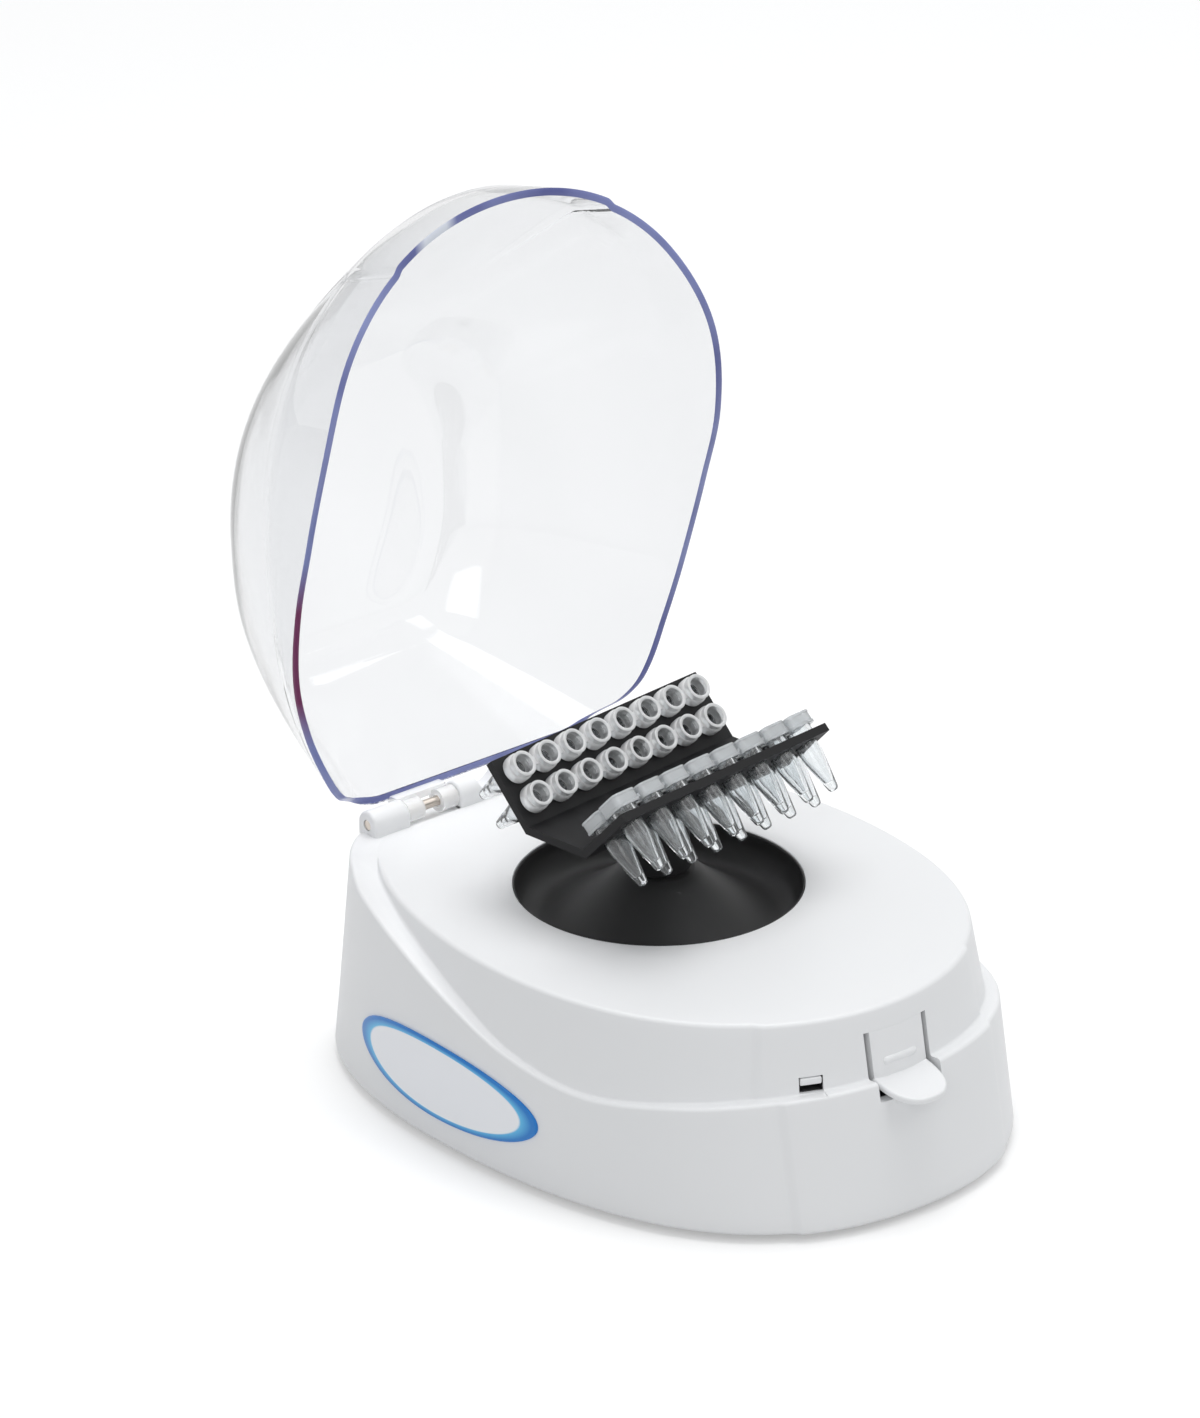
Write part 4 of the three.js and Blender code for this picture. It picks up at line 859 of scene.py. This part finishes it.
lid_clear = bpy.data.materials.new("lid_clear")
lid_clear.use_nodes = True
lid_nodes, lid_links = lid_clear.node_tree.nodes, lid_clear.node_tree.links
lid_bsdf = lid_nodes["Principled BSDF"]
lid_bsdf.inputs["Roughness"].default_value = 0.0
lid_bsdf.inputs["IOR"].default_value = 1.49
lid_bsdf.inputs["Transmission Weight"].default_value = 1.0
lid_place = lid_nodes.new("ShaderNodeTexCoord")
lid_wave = lid_nodes.new("ShaderNodeTexNoise")
lid_wave.inputs["Scale"].default_value = 22
lid_wave.inputs["Detail"].default_value = 1
lid_relief = lid_nodes.new("ShaderNodeBump")
lid_relief.inputs["Strength"].default_value = 0.12
lid_relief.inputs["Distance"].default_value = 0.001
lid_links.new(lid_place.outputs["Object"], lid_wave.inputs["Vector"])
lid_links.new(lid_wave.outputs["Fac"], lid_relief.inputs["Height"])
lid_links.new(lid_relief.outputs["Normal"], lid_bsdf.inputs["Normal"])
# Painted reflections: the base colour wavers between two greys in soft streaks. They stand for faint reflections
# inside the dome and lie over the grey tint of the clear plastic.
lid_reflection_streaks = lid_nodes.new("ShaderNodeTexNoise")
lid_reflection_streaks.inputs["Scale"].default_value = 11
lid_reflection_streaks.inputs["Detail"].default_value = 1.5
lid_reflection_streaks.inputs["Distortion"].default_value = 0.8
lid_tint_and_reflections = lid_nodes.new("ShaderNodeMix")
lid_tint_and_reflections.data_type = "RGBA"
lid_tint_and_reflections.inputs["A"].default_value = (0.8, 0.806, 0.815, 1)
lid_tint_and_reflections.inputs["B"].default_value = (0.885, 0.89, 0.9, 1)
lid_links.new(lid_place.outputs["Object"], lid_reflection_streaks.inputs["Vector"])
lid_links.new(lid_reflection_streaks.outputs["Fac"], lid_tint_and_reflections.inputs["Factor"])
lid_links.new(lid_tint_and_reflections.outputs["Result"], lid_bsdf.inputs["Base Color"])
dress(dome, lid_clear)

# Rim of the lid: the edge of the clear plastic, which gathers a blue-violet tint along its length. It turns reddish
# low on the left. For a short way near the left notch it is painted pale: a painted highlight that stands for a
# reflection of light on the rim.
rim_tint_and_highlight = bpy.data.materials.new("rim_tint_and_highlight")
rim_tint_and_highlight.use_nodes = True
rim_nodes, rim_links = rim_tint_and_highlight.node_tree.nodes, rim_tint_and_highlight.node_tree.links
rim_bsdf = rim_nodes["Principled BSDF"]
rim_bsdf.inputs["Roughness"].default_value = 0.15
rim_bsdf.inputs["IOR"].default_value = 1.49
rim_place = rim_nodes.new("ShaderNodeTexCoord")
rim_noise = rim_nodes.new("ShaderNodeTexNoise")
rim_noise.inputs["Scale"].default_value = 28
rim_noise.inputs["Detail"].default_value = 3
rim_ramp = rim_nodes.new("ShaderNodeValToRGB")
rim_ramp.color_ramp.elements[0].position = 0.3
rim_ramp.color_ramp.elements[0].color = (0.09, 0.105, 0.32, 1)
rim_ramp.color_ramp.elements[1].position = 0.72
rim_ramp.color_ramp.elements[1].color = (0.34, 0.39, 0.7, 1)
rim_links.new(rim_place.outputs["Object"], rim_noise.inputs["Vector"])
rim_links.new(rim_noise.outputs["Fac"], rim_ramp.inputs["Fac"])
rim_axes = rim_nodes.new("ShaderNodeSeparateXYZ")
rim_links.new(rim_place.outputs["Object"], rim_axes.inputs[0])


def rim_stretch(axis, middle, half):
    away = rim_nodes.new("ShaderNodeMath")
    away.operation = "SUBTRACT"
    away.inputs[1].default_value = middle
    size = rim_nodes.new("ShaderNodeMath")
    size.operation = "ABSOLUTE"
    fall = rim_nodes.new("ShaderNodeMapRange")
    fall.inputs["From Min"].default_value = half * 0.5
    fall.inputs["From Max"].default_value = half
    fall.inputs["To Min"].default_value = 1
    fall.inputs["To Max"].default_value = 0
    rim_links.new(rim_axes.outputs[axis], away.inputs[0])
    rim_links.new(away.outputs[0], size.inputs[0])
    rim_links.new(size.outputs[0], fall.inputs["Value"])
    return fall.outputs["Result"]


def rim_blend(below, colour, along_x, along_z):
    share = rim_nodes.new("ShaderNodeMath")
    share.operation = "MULTIPLY"
    rim_links.new(along_x, share.inputs[0])
    rim_links.new(along_z, share.inputs[1])
    over = rim_nodes.new("ShaderNodeMix")
    over.data_type = "RGBA"
    over.inputs["B"].default_value = (*colour, 1)
    rim_links.new(share.outputs[0], over.inputs["Factor"])
    rim_links.new(below, over.inputs["A"])
    return over.outputs["Result"]


rim_colour = rim_ramp.outputs["Color"]
# The second patch, pale, is a painted highlight: a lighter rim colour where a reflection of light falls.
for colour, place_x, place_z in (((0.2, 0.05, 0.13), (-0.066, 0.03), (0.113, 0.028)),
                                 ((0.72, 0.76, 0.85), (-0.021, 0.007), (0.22, 0.02))):
    rim_colour = rim_blend(rim_colour, colour, rim_stretch("X", *place_x), rim_stretch("Z", *place_z))
rim_links.new(rim_colour, rim_bsdf.inputs["Base Color"])
dome.data.materials.append(rim_tint_and_highlight)
count = len(deck_ring)
first_edge = len(dome_rings) - 1
for level in (first_edge, first_edge + 1, first_edge + 2):
    for i in range(count):
        dome.data.polygons[level * count + i].material_index = 1

hinge = spindle + Vector((0, pin_y, pin_z)) * mm
swing = Matrix.Translation(hinge) @ Matrix.Rotation(-open_angle, 4, "X") @ Matrix.Translation(-hinge)
dome.data.transform(swing)
smooth(dome, 40)
dome.visible_shadow = False
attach(dome, "lid")

# Lid brackets: two plates in cloudy clear plastic that reach down from the rear of the rim and hook
# round the pins, each with a notch in the middle where the pin shows.
plate_near, plate_far, notch_half, eye_radius, eye_bore = 10.8, 26.8, 3, 3.0, 1.6
bracket_cloudy = tube_frosted.copy()
bracket_cloudy.name = "bracket_cloudy"
bracket_cloudy.node_tree.nodes["Principled BSDF"].inputs["Transmission Weight"].default_value = 0.5
for side, where in ((-1, "left"), (1, "right")):
    x0, x1 = sorted((side * plate_near, side * plate_far))
    middle = (x0 + x1) / 2
    legs = []
    for a, b in ((x0, middle - notch_half), (middle + notch_half, x1)):
        eye = rod_piece("eye", (a, pin_y, pin_z), (b, pin_y, pin_z), eye_radius)
        legs.append(cut(eye, rod_piece("bore", (a - 1, pin_y, pin_z), (b + 1, pin_y, pin_z), eye_bore)))
    legs.append(box_piece("plate", (x0, pin_y - 3, pin_z + 2.2), (x1, pin_y - 1, pin_z + 6.2)))
    bracket = joined(f"lid_bracket_{where}", legs, Matrix.Translation(spindle))
    bracket.data.transform(swing)
    smooth(bracket, 40)
    dress(bracket, bracket_cloudy)
    bracket.visible_shadow = False
    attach(bracket, "lid")
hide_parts("lid")

# Steel and rubber: hinge pins, spindle, screws, the motor with its bracket and mounts, and the feet.
# The pins are plain drawn rod, and the motor parts stay out of sight in the housing.
steel_bright = bpy.data.materials.new("steel_bright")
steel_bright.use_nodes = True
steel_nodes, steel_links = steel_bright.node_tree.nodes, steel_bright.node_tree.links
steel_bsdf = steel_nodes["Principled BSDF"]
steel_bsdf.inputs["Metallic"].default_value = 1.0
steel_effect = steel_nodes.new("ShaderNodeGroup")
steel_effect.node_tree = grain
steel_effect.inputs["Grain"].default_value = 2600
steel_effect.inputs["Low Roughness"].default_value = 0.22
steel_effect.inputs["High Roughness"].default_value = 0.38
steel_tint = steel_nodes.new("ShaderNodeMix")
steel_tint.data_type = "RGBA"
steel_tint.inputs["A"].default_value = (0.66, 0.6, 0.54, 1)
steel_tint.inputs["B"].default_value = (0.54, 0.48, 0.43, 1)
steel_links.new(steel_effect.outputs["Shade"], steel_tint.inputs["Factor"])
steel_links.new(steel_tint.outputs["Result"], steel_bsdf.inputs["Base Color"])
steel_links.new(steel_effect.outputs["Roughness"], steel_bsdf.inputs["Roughness"])
foot_rubber = moulded("foot_rubber", (0.02, 0.02, 0.02), (0.03, 0.03, 0.03), 0.7, 0.9, 500.0, 0.2)
steel_names = ["hinge_pin_left", "hinge_pin_right", "motor_shaft", "motor_bracket", "motor_can", "inlet_pin"]
steel_names += [f"base_screw_{k}" for k in range(1, 5)] + [f"bowl_screw_{k}" for k in range(1, 4)]
rubber_names = [f"foot_{k}" for k in range(1, 5)] + [f"motor_mount_{k}" for k in range(1, 5)]
for names, material, width in ((steel_names, steel_bright, 0.15), (rubber_names, foot_rubber, 0.4)):
    for name in names:
        smooth(dress(round_edges(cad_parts[name], width, 2, 50), material), 40)

# Bottom plate, circuit board, power inlet and switch guide: the plain inner mouldings and the
# coated board. Only the inlet shows, in the rear wall.
plate_white = moulded("plate_white", (0.7, 0.71, 0.72), (0.66, 0.67, 0.68), 0.45, 0.6, 900.0, 0.08)
board_green = moulded("board_green", (0.02, 0.12, 0.05), (0.03, 0.16, 0.07), 0.3, 0.45, 300.0, 0.1)
for name, material, width in (("bottom_plate", plate_white, 0.3), ("circuit_board", board_green, 0.1),
                              ("power_inlet", dark_plastic, 0.25), ("lid_switch_body", dark_plastic, 0.2)):
    dress(round_edges(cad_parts[name], width, 2, 50), material)
